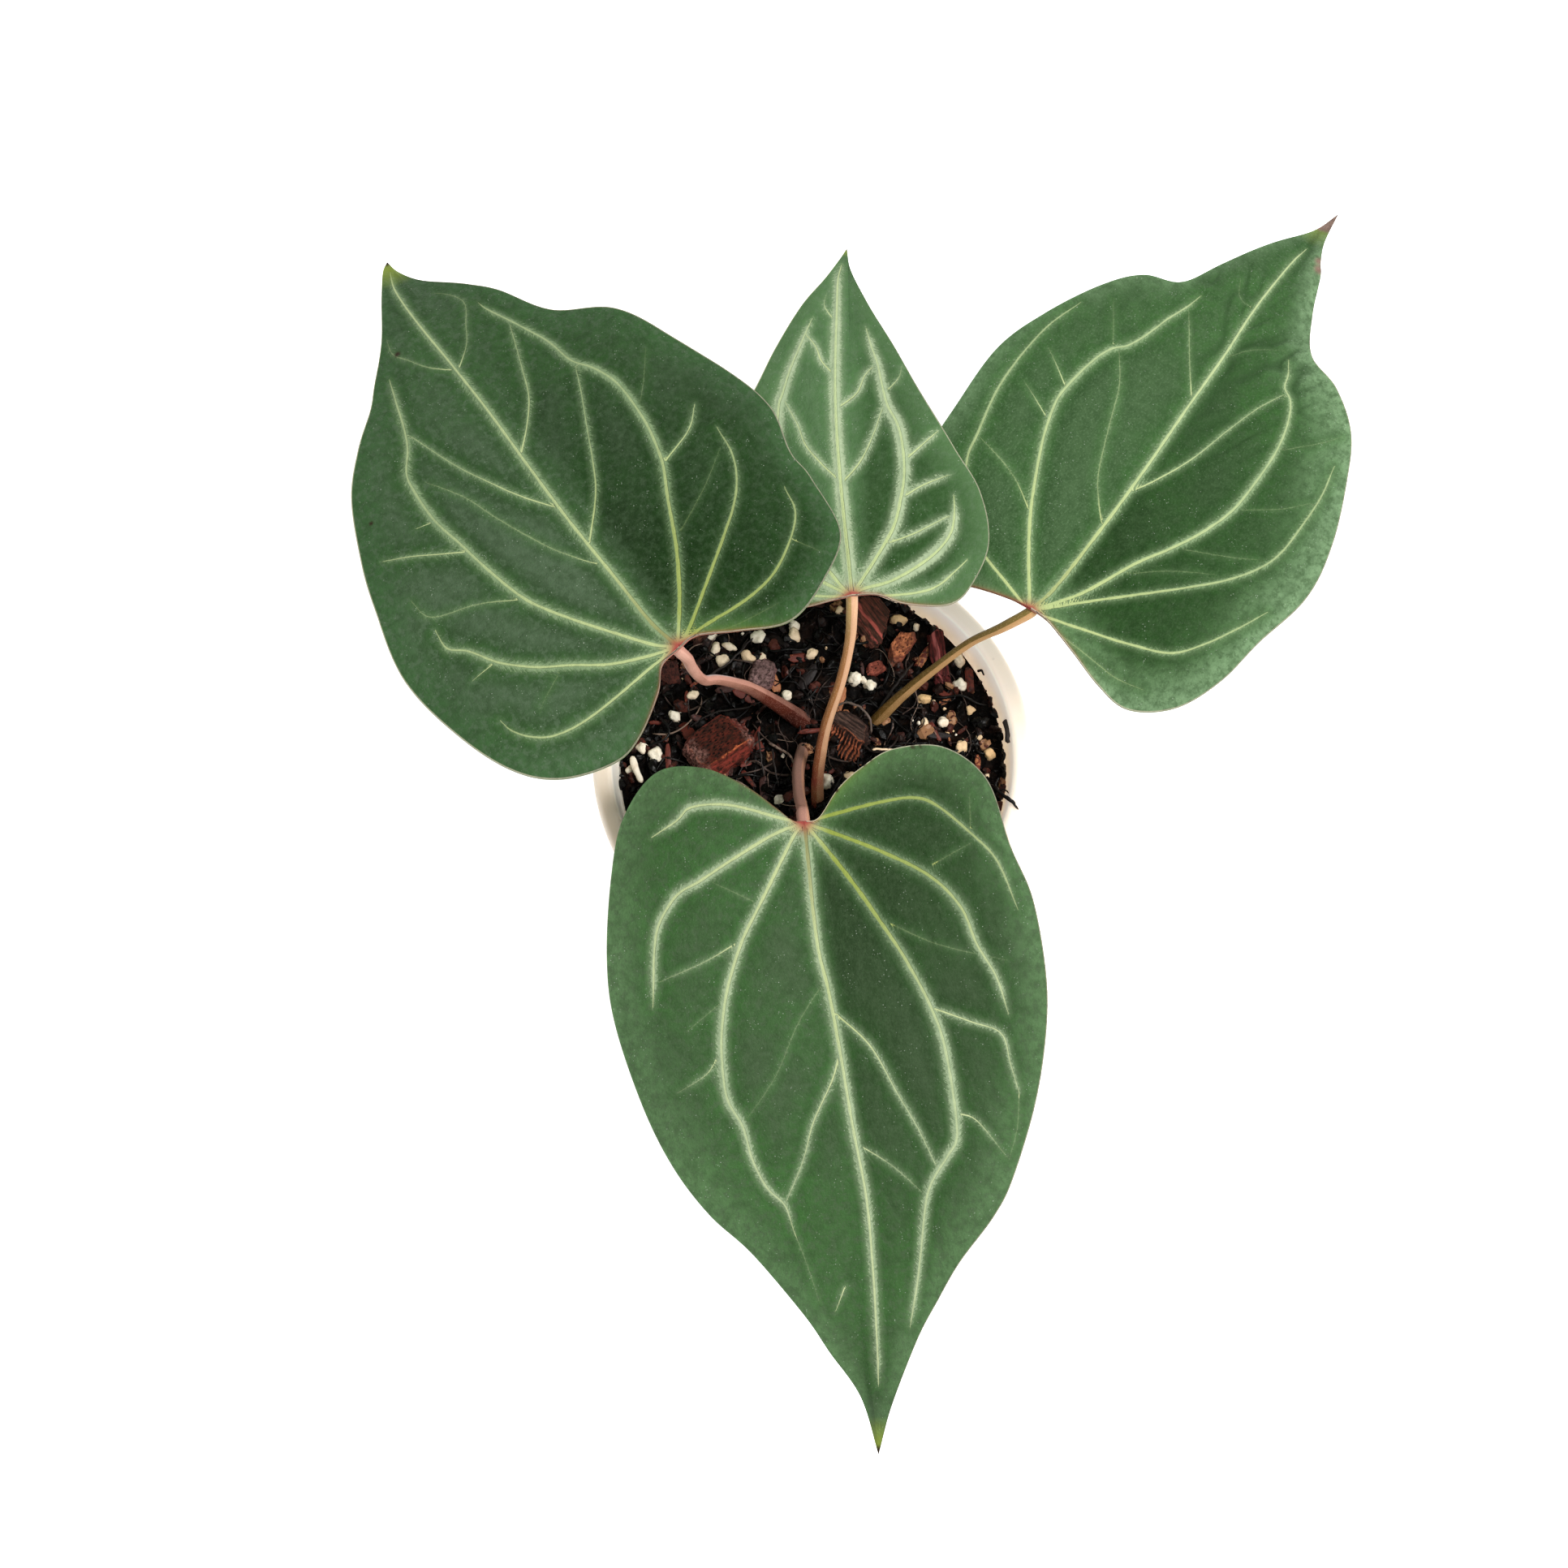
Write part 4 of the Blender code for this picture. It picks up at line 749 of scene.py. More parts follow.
def leaf_finish(name):
    """Dark velvet with pale feathered veins on top, plain paler green with raised veins below.

    The plain distance to a vein is blurred by the net's cells, so near the vein the signed one takes over.
    The core shows where the distance is less than its half width. Its colour is painted light: a pale copy
    on the half that faces the window and a yellow-green copy on the half that leans away, near the stalk."""
    look = LEAF_LOOKS[name]
    paint = Paint(name + "_velvet", 0.62, sheen=0.01, specular=0.06)
    flat = paint.map("flat")
    broad = paint.noise(14.0, 4.0, flat, roughness=0.6)
    fine = paint.noise(260.0, 4.0, flat, roughness=0.7)
    grain = paint.noise(1500.0, 2.0, flat)
    mottle = paint.noise(430.0, 3.0, flat, roughness=0.75)
    hammer = paint.noise(560.0, 4.0, flat, roughness=0.72)

    side = paint.math("ABSOLUTE", paint.attribute("side"))
    distance = paint.math("MAXIMUM", side, paint.math("SUBTRACT", paint.attribute("gap"), NET_BLUR))
    inside = paint.math("SUBTRACT", paint.attribute("band"), distance)
    green = leaf_skin(paint, look, inside, broad, fine, grain, mottle, hammer)
    green = leaf_bands(paint, look, green, inside, flat, fine, grain)

    ratio = paint.math("DIVIDE", distance, paint.attribute("wide"))
    ratio = paint.plus(ratio, paint.ramp(fine, 0.2, 0.8, -0.25, 0.25))
    line = paint.times(paint.ramp(ratio, 1.20, 0.60), paint.attribute("clear"))
    # painted light: the core's pale copy on the half that faces the window, a shaded yellow-green copy on
    # the other half near the stalk
    shaded_lime = paint.attribute("shaded_lime")
    core = paint.mix(shaded_lime, look["core"], SHADED_LIME)
    core = paint.mix(paint.times(paint.attribute("olive"), 0.85), core, OLIVE)
    green = paint.mix(paint.times(line, paint.ramp(shaded_lime, 0.0, 0.7, 0.80, 0.92)), green, core)
    green = leaf_marks(paint, green, flat, fine)

    below = paint.mix(paint.ramp(broad, 0.3, 0.7), UNDER_GREEN, UNDER_PALE)
    below = paint.mix(paint.ramp(inside, -0.6, 0.4, 0.0, 0.6), below, UNDER_VEIN)
    below = paint.mix(paint.attribute("rose"), below, ROSE)
    relief = paint.plus(paint.times(line, 1.1), paint.times(fine, 0.9))
    for noise, weight in ((grain, 0.4), (mottle, 1.2), (hammer, 0.8)):
        relief = paint.plus(relief, paint.times(noise, weight))
    paint.bump(relief, 0.7, 0.00042)
    color = paint.mix(paint.attribute("under"), green, below)
    return paint.finish(color, paint.ramp(fine, 0.2, 0.8, 0.52, 0.72))


# %% [markdown]
# Now the blades. The top net carries the veins as low rounded ridges and the skin between them as shallow
# cushions with wrinkles and, in patches, sharp creases. The underside is a net with half as many cells,
# 0.8 mm lower, and a strip of triangles closes the edge between the two.

# %% Make the blades
QUILT = 0.55
QUILT_WIDTH = 5.0
WRINKLE = 0.16
CREASE_SIZE = 4.2
CREASE_COS = 0.93
CREASE_SIN = 0.36
EDGE_FAR = 24.0
# Patches of sharp creases: place along and across the blade, how far they spread, how deep they are
CREASES = {
    "leaf_left": ((148, 6, 11, 0.30), (118, 36, 14, 0.22), (60, -42, 12, 0.16), (128, -20, 12, 0.18)),
    "leaf_right": ((104, -10, 17, 0.55), (124, 9, 15, 0.30), (80, -13, 15, 0.30), (100, 26, 14, 0.22)),
    "leaf_front": ((70, 38, 16, 0.14), (34, 34, 16, 0.22), (104, 10, 14, 0.14)),
    "leaf_back": ((40, 6, 18, 0.10),),
}


def blade_skin(name, leaf, flat, share, place, away):
    """Height of the skin, and the painted shade of each point that lies deep in the valleys of creases.

    Four things add up: waves that grow with the fourth power of the share of the way out, cushions between
    the veins, wrinkles from noise of two sizes, and creases, whose valleys follow the zero lines of a
    noise that is long in a slanting direction."""
    a, b = flat.T
    height, count, phase = leaf["wave"]
    wave = height * share ** 4 * np.sin(2 * np.pi * count * (0.5 - place) + phase)
    wave *= 1 - np.exp(-(np.linalg.norm(flat, axis=1) / WAVE_START) ** 2)
    cushion = QUILT * (1 - np.exp(-(away / QUILT_WIDTH) ** 2)) * held((1 - share) * 6)
    space = np.column_stack((flat, np.zeros(len(flat))))
    wrinkle = WRINKLE * (value_noise(space, 7.0, 3) + 0.6 * value_noise(space, 2.6, 4)) * (1 - share ** 6)
    ahead = CREASE_COS * a + CREASE_SIN * np.abs(b)
    across = CREASE_COS * np.abs(b) - CREASE_SIN * a
    slant = np.column_stack((0.34 * ahead, across, 0.2 * b))
    valley = 1 - np.minimum(2.4 * np.abs(value_noise(slant, CREASE_SIZE, 8)), 1.0)
    depth = np.zeros(len(flat))
    for at_a, at_b, spread, deep in CREASES[name]:
        depth = np.maximum(depth, deep * np.exp(-((a - at_a) ** 2 + (b - at_b) ** 2) / spread ** 2))
    depth *= held(away / 2.5) * held((1 - share) * 12)
    # the second value is painted shade in the valleys of the creases
    return wave + cushion + wrinkle + depth * (1 - 2 * valley), held(3.2 * depth * valley)


def blade_values(name, leaf, flat, share, under):
    """Values for the finish that depend on the place on the blade: on the half, on how far it is from the
    stalk (reach), from the midrib (out), from the edge (edge_gap) and from the tip. The silvery value, the
    yellow-green of the cores and of the skin beside the stalk, and the shade paint the window's light by
    half:
    painted sheen on one half, painted shade on the other."""
    look = LEAF_LOOKS[name]
    a, b = flat.T
    out = np.abs(b)
    reach = np.linalg.norm(flat, axis=1)
    edge_gap = (1 - share) * np.linalg.norm(flat - (leaf["centre"], 0.0), axis=1) / np.maximum(share, 0.05)
    tip = np.linalg.norm(flat - leaf["tip"], axis=1)
    dry, yellow = leaf["tip_lengths"]
    scars = np.zeros(len(flat))
    for at_a, at_b, size in leaf["scars"]:
        scars = np.maximum(scars, held(1.6 - np.hypot(a - at_a, b - at_b) / size))
    # painted sheen and painted shade, each set for the half left and right of the midrib
    silver_and_sheen, shade, calm = (np.where(b > 0, *look[key]) for key in ("silver_and_sheen", "shade", "calm"))
    silver_and_sheen = silver_and_sheen + (1 - silver_and_sheen) * held((reach - 32) / 34)
    shaded_flush = np.exp(-edge_gap / 2.8) * np.exp(-((reach - 12) / 13) ** 2) * (1 - silver_and_sheen)
    silver_and_sheen = np.maximum(silver_and_sheen, 0.8 * held((8.5 - out) / 6))
    middle = held(out / 5) * held(1.5 * edge_gap / look["reach"])
    rose = np.exp(-(reach / 2.6) ** 2) * 0.9
    rose += leaf["margin"] * np.exp(-edge_gap / 0.5) * np.exp(-(reach / 24) ** 4)
    return {
        "silver_and_sheen": silver_and_sheen,
        "shaded_lime": held(1.25 - silver_and_sheen) * np.exp(-(reach / 75) ** 2),
        "shaded_flush": shaded_flush,
        "shade": shade * middle * held(1.25 - reach / 105),
        "near_edge": np.minimum(edge_gap + calm, EDGE_FAR),
        "rose": held(rose),
        "tip_tone": held(1.4 - tip / yellow) * 0.8,
        "tip_dry": np.maximum(held((dry - tip) / 1.2 + 0.5), scars),
        "brown": np.full(len(flat), float(dry > 5)),
        "under": np.full(len(flat), float(under)),
    }


def blade_side(name, leaf, bits, cells, under):
    """Points, stored values and maps of one face of the blade."""
    flat, share, place = heart_net(leaf, cells)
    side, gap, length, band, wide, pale, olive, clear, ridge, away = near_veins(flat, bits).T
    skin, crease_shade = blade_skin(name, leaf, flat, share, place, away)
    lift = skin + ridge
    if under:
        lift = skin - BLADE_THICKNESS - 1.1 * ridge + 0.12 * share ** 30
    values = blade_values(name, leaf, flat, share, under)
    values.update({
        "side": side, "gap": gap, "band": band, "wide": wide * (1 + 0.35 * values["shaded_lime"]), "pale": pale,
        "olive": olive * LEAF_LOOKS[name]["olive"], "away": away, "clear": clear, "crease_shade": crease_shade,
    })
    maps = {"flat": flat / 1000.0, "feather": np.column_stack((length + 0.9 * gap, side))}
    return lay(leaf, flat, lift), values, maps


def net_edge(cells):
    """Numbers of a square net's outer points, in order round it from the middle of the tip's side."""
    n = cells + 1
    number = np.arange(n * n).reshape(n, n)
    loop = np.concatenate((number[-1, :-1], number[:0:-1, -1], number[0, :0:-1], number[:-1, 0]))
    return np.roll(loop, -(cells // 2))


def make_blade(name, leaf):
    """The top net, the underside net and the strip between their edges, as one closed mesh."""
    bits = vein_bits(VEINS[name], leaf["wider"])
    cells = leaf["cells"]
    top, top_values, top_maps = blade_side(name, leaf, bits, cells, False)
    low, low_values, low_maps = blade_side(name, leaf, bits, cells // 2, True)
    upper = net_edge(cells)
    lower = net_edge(cells // 2) + len(top)
    before, middle, after = upper[0::2], upper[1::2], np.roll(upper, -2)[0::2]
    following = np.roll(lower, -1)
    strip = np.vstack((
        np.column_stack((lower, middle, before)),
        np.column_stack((lower, following, middle)),
        np.column_stack((following, after, middle)),
    ))
    faces = grid_faces(cells + 1, cells + 1).tolist()
    faces += grid_faces(cells // 2 + 1, cells // 2 + 1, len(top))[:, ::-1].tolist()
    faces += strip.tolist()
    values = {key: np.concatenate((top_values[key], low_values[key])) for key in top_values}
    maps = {key: np.vstack((top_maps[key], low_maps[key])) for key in top_maps}
    points = np.vstack((top, low))
    return piece(name + "_blade", points, faces, leaf_finish(name), values, maps, (name,))


for leaf_name, leaf_spec in LEAVES.items():
    make_blade(leaf_name, leaf_spec)

# %% [markdown]
# ## Stalks
# Each stalk is a fleshy rod that leaves the soil, leans out and ends in a swollen joint under its blade.
# It is pinkish where it is young and darker red low down, and one side of it is a paler facet, partly its
# own tint and partly painted light. A tube along a smooth line does it: the line is the one the solids use,
# and the joint's last points follow from the blade, so the seat is right whatever the leaf does.

# %% Stalk lines
SOIL_LEVEL = 95.0
CROWN = np.array((2.0, 5.0, 10.0))
HOLE_DEPTH = 26.0
BURIED = 8.0
JOINT_DROP = 1.0
JOINT_START = 0.82
JOINT_SINK = 0.35
FOOT_END = 0.26
THIN_FROM = 0.72
STALK_SIDES = 26
STALK_STEPS = 150

# line: points above the soil; radii: at the foot, in the middle and at the joint
# leaf and seat: the blade it carries and where the joint runs in under the midrib
# colors: from the soil to the joint
# tinted_lit_facet: the side that the paler facet looks to and the share at which its edge lies; the facet
# is partly the stalk's own tint and partly painted light, in tinted_lit_facet_color
STALKS = {
    "petiole_left": dict(
        line=((-3.9, 13.4, 95.0), (-9.8, 14.7, 105.0), (-16.8, 14.8, 119.0), (-21.5, 13.2, 130.0),
              (-25.6, 11.4, 138.5), (-28.3, 10.0, 142.3), (-30.0, 9.8, 146.5), (-31.6, 10.8, 151.0),
              (-32.6, 11.8, 155.0)),
        radii=(2.6, 1.35, 1.65), leaf="leaf_left", seat=(0.5, 3.5),
        colors=((0.040, 0.008, 0.005), (0.075, 0.016, 0.009), (0.245, 0.115, 0.080), (0.42, 0.235, 0.180)),
        tinted_lit_facet=(0.1, 1.0, -0.15), tinted_lit_facet_color=(0.38, 0.185, 0.140)),
    "petiole_back": dict(
        line=((1.3, -9.7, 95.0), (1.5, -3.5, 102.0), (3.5, 5.7, 114.0), (7.3, 14.3, 127.0),
              (9.5, 22.1, 138.0)),
        radii=(1.8, 1.36, 1.6), leaf="leaf_back", seat=(-2.5, 4.0),
        colors=((0.20, 0.034, 0.024), (0.21, 0.068, 0.028), (0.26, 0.116, 0.038), (0.30, 0.205, 0.078)),
        tinted_lit_facet=(1.0, 0.0, -0.12), tinted_lit_facet_color=(0.46, 0.272, 0.160)),
    "petiole_right": dict(
        line=((18.2, 13.3, 95.0), (24.2, 17.4, 103.0), (32.6, 21.7, 114.0), (41.9, 25.5, 126.0),
              (49.9, 27.0, 134.5)),
        radii=(1.9, 1.2, 1.6), leaf="leaf_right", seat=(1.0, 3.0),
        colors=((0.120, 0.056, 0.012), (0.105, 0.058, 0.012), (0.120, 0.078, 0.019), (0.15, 0.110, 0.030)),
        tinted_lit_facet=(0.45, -0.9, 0.30), tinted_lit_facet_color=(0.40, 0.230, 0.100)),
    "petiole_front": dict(
        line=((-2.7, 4.2, 95.0), (-3.9, -3.5, 102.0), (-3.7, -12.3, 111.0), (-2.9, -19.0, 119.5)),
        radii=(1.9, 1.6, 1.8), leaf="leaf_front", seat=(-2.5, 4.0),
        colors=((0.16, 0.088, 0.064), (0.21, 0.115, 0.090), (0.24, 0.128, 0.100), (0.28, 0.140, 0.105)),
        tinted_lit_facet=(1.0, 0.0, 0.50), tinted_lit_facet_color=(0.33, 0.165, 0.105)),
}
FACET_RIDGE = 0.06
# colour of the painted highlight along the left stalk's upper edge
GLEAM = (0.42, 0.36, 0.37)


def unit(v):
    """Vectors of length one along the last axis."""
    return v / np.maximum(np.linalg.norm(v, axis=-1, keepdims=True), 1e-9)


def stalk_path(stalk, count):
    """The whole centre line from the foot deep in the soil to the seat under the blade."""
    above = np.array(stalk["line"])
    lean = unit(CROWN - above[0])
    foot = above[0] + lean * HOLE_DEPTH
    buried = above[0] + unit(unit(above[0] - above[1]) + lean) * BURIED
    drop = BLADE_THICKNESS + JOINT_DROP + stalk["radii"][2] - JOINT_SINK
    seat = lay(LEAVES[stalk["leaf"]], np.column_stack((stalk["seat"], (0.0, 0.0))), -drop)
    return evenly(np.vstack((foot, buried, above, seat)), count)


# %% [markdown]
# One tube maker serves the stalks and, later, the hundreds of root fibres. It takes many lines at once. At
# every point the ring lies across the line, turned by a fixed reference direction that is never along it.

# %% Tubes


def tubes(paths, radii, sides, reference):
    """Rings round many lines (lines, points, 3) with a radius at each point, and the faces with end caps.

    A ring's point at angle t is centre + r (cos t, sin t), on two unit vectors across the line."""
    ahead = unit(np.gradient(paths, axis=1))
    across = unit(np.cross(ahead, reference))
    over = np.cross(across, ahead)
    angle = np.arange(sides) * 2 * np.pi / sides
    ring = across[:, :, None] * np.cos(angle)[:, None] + over[:, :, None] * np.sin(angle)[:, None]
    points = paths[:, :, None] + ring * radii[:, :, None, None]
    lines, steps = paths.shape[:2]
    block = grid_faces(steps, sides, closed=True)
    starts = np.arange(lines)[:, None, None] * steps * sides
    faces = (block + starts).reshape(-1, 4).tolist()
    cap = np.arange(sides)
    low = (cap[::-1] + starts[:, 0]).tolist()
    high = (cap + (steps - 1) * sides + starts[:, 0]).tolist()
    return points.reshape(-1, 3), faces + low + high


def stalk_finish(name, colors, tinted_lit_facet_color):
    """Four colours up the stalk, a paler side along it that is partly painted light, a painted highlight,
    fine streaks and small pale dots.
    """
    paint = Paint(name + "_skin", 0.42, specular=0.12)
    along = paint.attribute("along")
    uneven = paint.plus(along, paint.ramp(paint.noise(130.0, 3.0), 0.2, 0.8, -0.07, 0.07))
    color = paint.mix(paint.ramp(uneven, 0.24, 0.40), colors[0], colors[1])
    color = paint.mix(paint.ramp(uneven, 0.42, 0.70), color, colors[2])
    color = paint.mix(paint.ramp(uneven, 0.74, 0.97), color, colors[3])
    # the paler side: partly the stalk's own tint, partly painted light
    tinted_lit_facet = paint.ramp(paint.attribute("tinted_lit_facet"), 0.35, 0.65)
    tinted_lit_facet = paint.times(tinted_lit_facet, paint.ramp(uneven, 0.26, 0.55, 0.25, 0.95))
    color = paint.mix(tinted_lit_facet, color, tinted_lit_facet_color)
    # painted highlight along the upper edge of the left stalk
    color = paint.mix(paint.times(paint.attribute("gleam"), 0.75), color, GLEAM)
    streaks = paint.noise(1.0, 3.0, paint.map("skin"), (60.0, 7.0, 1.0), 0.6)
    color = paint.mix(paint.ramp(streaks, 0.40, 0.75, 0.0, 0.25), color, colors[1])
    pale = tuple(1.5 * c + 0.04 for c in tinted_lit_facet_color)
    color = paint.mix(paint.ramp(paint.dots(2600.0), 0.36, 0.14, 0.0, 0.35), color, pale)
    paint.bump(streaks, 0.3, 0.0002)
    return paint.finish(color)


# %% Make the stalks


def make_stalk(name, stalk):
    """A stalk with a flared foot, a paler side with a crisp edge along it and a swollen joint with a round
    end.

    A point belongs to the paler side, which is partly painted light, where the direction from the centre
    line to it, times the direction that side looks to, is more than the share at that side's edge; a low
    ridge follows that edge. The left stalk also has a painted highlight along the upper edge of its lying
    part."""
    path = stalk_path(stalk, STALK_STEPS)
    share = np.linspace(0.0, 1.0, STALK_STEPS)
    foot, middle, joint = stalk["radii"]
    radius = middle + (foot - middle) * held((THIN_FROM - share) / (THIN_FROM - FOOT_END)) ** 1.6
    radius += (joint - middle) * np.maximum(0.0, (share - JOINT_START) / (1 - JOINT_START)) ** 0.7
    length = np.linalg.norm(np.diff(path, axis=0), axis=1).sum()
    to_end = (1 - share) * length
    radius *= np.sqrt(np.clip(1 - (1 - np.minimum(to_end / joint, 1.0)) ** 2, 0.02, 1.0))
    angle = np.arange(STALK_SIDES) * 2 * np.pi / STALK_SIDES
    low, high = path[47], path[-24]
    flat = unit(high - low) * (1.0, 1.0, 0.0)
    reference = unit(np.array((-flat[1], flat[0], 0.0)))
    points, faces = tubes(path[None], radius[None], STALK_SIDES, reference)
    centre = np.repeat(path, STALK_SIDES, axis=0)
    toward_x, toward_y, edge = stalk["tinted_lit_facet"]
    toward = unit(unit(points - centre)) @ unit(np.array((toward_x, toward_y, 0.0)))
    ridge = np.exp(-((toward - edge) / 0.16) ** 2) * (points[:, 2] > centre[:, 2] - 0.3)
    scale = 1.0 + FACET_RIDGE * ridge - 0.03 * np.tile(np.cos(5 * angle), STALK_STEPS)
    scale += 0.03 * value_noise(points, 3.2, 21)
    points = centre + (points - centre) * scale[:, None]
    along = np.repeat(share, STALK_SIDES)
    far_edge = held((toward - 0.62) / 0.2) * np.exp(-((along - 0.72) / 0.085) ** 4)
    # the paler side's share, partly painted light, and where the painted highlight lies
    values = {
        "along": along, "tinted_lit_facet": held((toward - edge) / 0.2 + 0.5),
        "gleam": far_edge * (name == "petiole_left"),
    }
    around = np.tile(np.abs(angle / np.pi - 1), STALK_STEPS)
    maps = {"skin": np.column_stack((around, along))}
    finish = stalk_finish(name, stalk["colors"], stalk["tinted_lit_facet_color"])
    piece(name + "_stalk", points, faces, finish, values, maps, (name,))


for stalk_name, stalk_spec in STALKS.items():
    make_stalk(stalk_name, stalk_spec)

# %% [markdown]
# ## Pot
# A nursery pot is one thin shell of plastic: a tapered wall, a flat floor, a broad rim that turns down
# into a skirt, and slots round the foot that let water out. It is turned from a profile. The slots are
# made by leaving out the same window of faces on the outer and on the inner skin and joining the two
# windows' edges. Water has stained the wall above the soil, with painted shade that grows towards the soil.
# The inner wall is painted as a lighter copy of the cream, and on the window's side a painted glow stands
# for daylight coming through it.

# %% Pot profile
POT_HEIGHT = 105.0
RIM_RADIUS = 60.0
RIM_WIDTH = 5.4
RIM_DROP = 11.0
RIM_ROUND = 1.6
RIM_THICKNESS = 2.1
RIM_SHOULDER = 2.4
SKIRT_TAPER = 0.7
LIP_ROUND = 0.5
POT_WALL = 1.7
FLOOR_THICKNESS = 2.4
FOOT_RADIUS = 41.0
FOOT_ROUND = 2.0
FLOOR_DISC = 4.0
WALL_START = 5.4
POT_COLUMNS = 288
DRAIN_SLOTS = 8
DRAIN_INNER = 35.5
DRAIN_TOP = 3.5
DRAIN_HALF = 3
DRAIN_ROWS = 6
# strength of the painted glow on the window's side of the pot
WALL_GLOW = 0.34
OUTER_CREAM = (0.60, 0.51, 0.42)
OUTER_PALE = (0.68, 0.59, 0.50)
# inner wall: a lighter copy of the cream, painted light
INNER_LIT_CREAM = (0.94, 0.91, 0.85)
# stain colour that also carries painted shade, stronger towards the soil
STAIN_AND_SHADE = (0.90, 0.71, 0.52)
SOIL_SPECK = (0.13, 0.08, 0.05)
SCUFF = (0.50, 0.40, 0.29)
# colours of the painted glow: high on the wall, near the soil and in clouds
GLOW_HIGH = (1.0, 0.96, 0.94)
GLOW_LOW = (0.80, 0.46, 0.26)
GLOW_CLOUD = (1.0, 0.80, 0.62)


def wall_radius(height):
    """Outer radius of the wall, a straight taper from the foot to the mouth."""
    mouth = RIM_RADIUS - RIM_WIDTH + POT_WALL
    return FOOT_RADIUS + (mouth - FOOT_RADIUS) * height / POT_HEIGHT


def arc(centre, radius, start, end, count):
    """Points on a circular arc in the profile's plane, angles in degrees."""
    angle = np.radians(np.linspace(start, end, count))
    return np.column_stack((centre[0] + radius * np.cos(angle), centre[1] + radius * np.sin(angle)))


def straight(start, end, count):
    """Evenly spaced points from start to just before end."""
    return np.array(start) + (np.array(end) - np.array(start)) * np.arange(count)[:, None] / count


def pot_profile():
    """The closed profile from the inner floor round the rim to the underside, and the slots' rows."""
    mouth = RIM_RADIUS - RIM_WIDTH
    skirt = POT_HEIGHT - RIM_DROP
    hang = RIM_RADIUS - SKIRT_TAPER
    below_rim = POT_HEIGHT - RIM_THICKNESS
    round_centre = POT_HEIGHT - RIM_ROUND
    lip = skirt + LIP_ROUND
    corner = (wall_radius(0) - POT_WALL - FOOT_ROUND, FLOOR_THICKNESS)
    rise = (wall_radius(DRAIN_TOP) - POT_WALL - 0.75, DRAIN_TOP)
    inner_wall = (wall_radius(WALL_START) - POT_WALL, WALL_START)
    outer_top = (wall_radius(below_rim), below_rim)
    outer_low = (wall_radius(DRAIN_TOP), DRAIN_TOP)
    skirt_top = (RIM_RADIUS - POT_WALL, below_rim)
    parts = [
        straight((FLOOR_DISC, FLOOR_THICKNESS), (DRAIN_INNER, FLOOR_THICKNESS), 10),
        straight((DRAIN_INNER, FLOOR_THICKNESS), corner, DRAIN_ROWS // 2),
        straight(corner, rise, DRAIN_ROWS // 2),
        straight(rise, inner_wall, 3),
        straight(inner_wall, (mouth, round_centre), 12),
        arc((mouth + RIM_ROUND, round_centre), RIM_ROUND, 180, 90, 9),
        straight((mouth + RIM_ROUND + 0.5, POT_HEIGHT), (RIM_RADIUS - RIM_ROUND, POT_HEIGHT), 3),
        arc((RIM_RADIUS - RIM_ROUND, round_centre), RIM_ROUND, 90, 0, 9),
        straight((RIM_RADIUS - 0.05, POT_HEIGHT - RIM_SHOULDER), (hang, lip), 8),
        arc((hang - LIP_ROUND, lip), LIP_ROUND, 0, -90, 4),
        arc((hang - POT_WALL + LIP_ROUND, lip), LIP_ROUND, -90, -180, 4),
        straight((hang - POT_WALL + 0.1, skirt + 1.6), skirt_top, 6),
        straight(skirt_top, outer_top, 2),
        straight(outer_top, outer_low, 12),
        straight(outer_low, (wall_radius(FOOT_ROUND), FOOT_ROUND), 1),
        arc((wall_radius(0) - FOOT_ROUND, FOOT_ROUND), FOOT_ROUND, 0, -90, DRAIN_ROWS - 1),
        straight((DRAIN_INNER, 0.0), (FLOOR_DISC, 0.0), 10),
        np.array(((FLOOR_DISC, 0.0),)),
    ]
    first = np.cumsum([0] + [len(part) for part in parts])
    inner = np.arange(first[1], first[3] + 1)
    outer = np.arange(first[14], first[16] + 1)[::-1]
    return np.vstack(parts), inner, outer


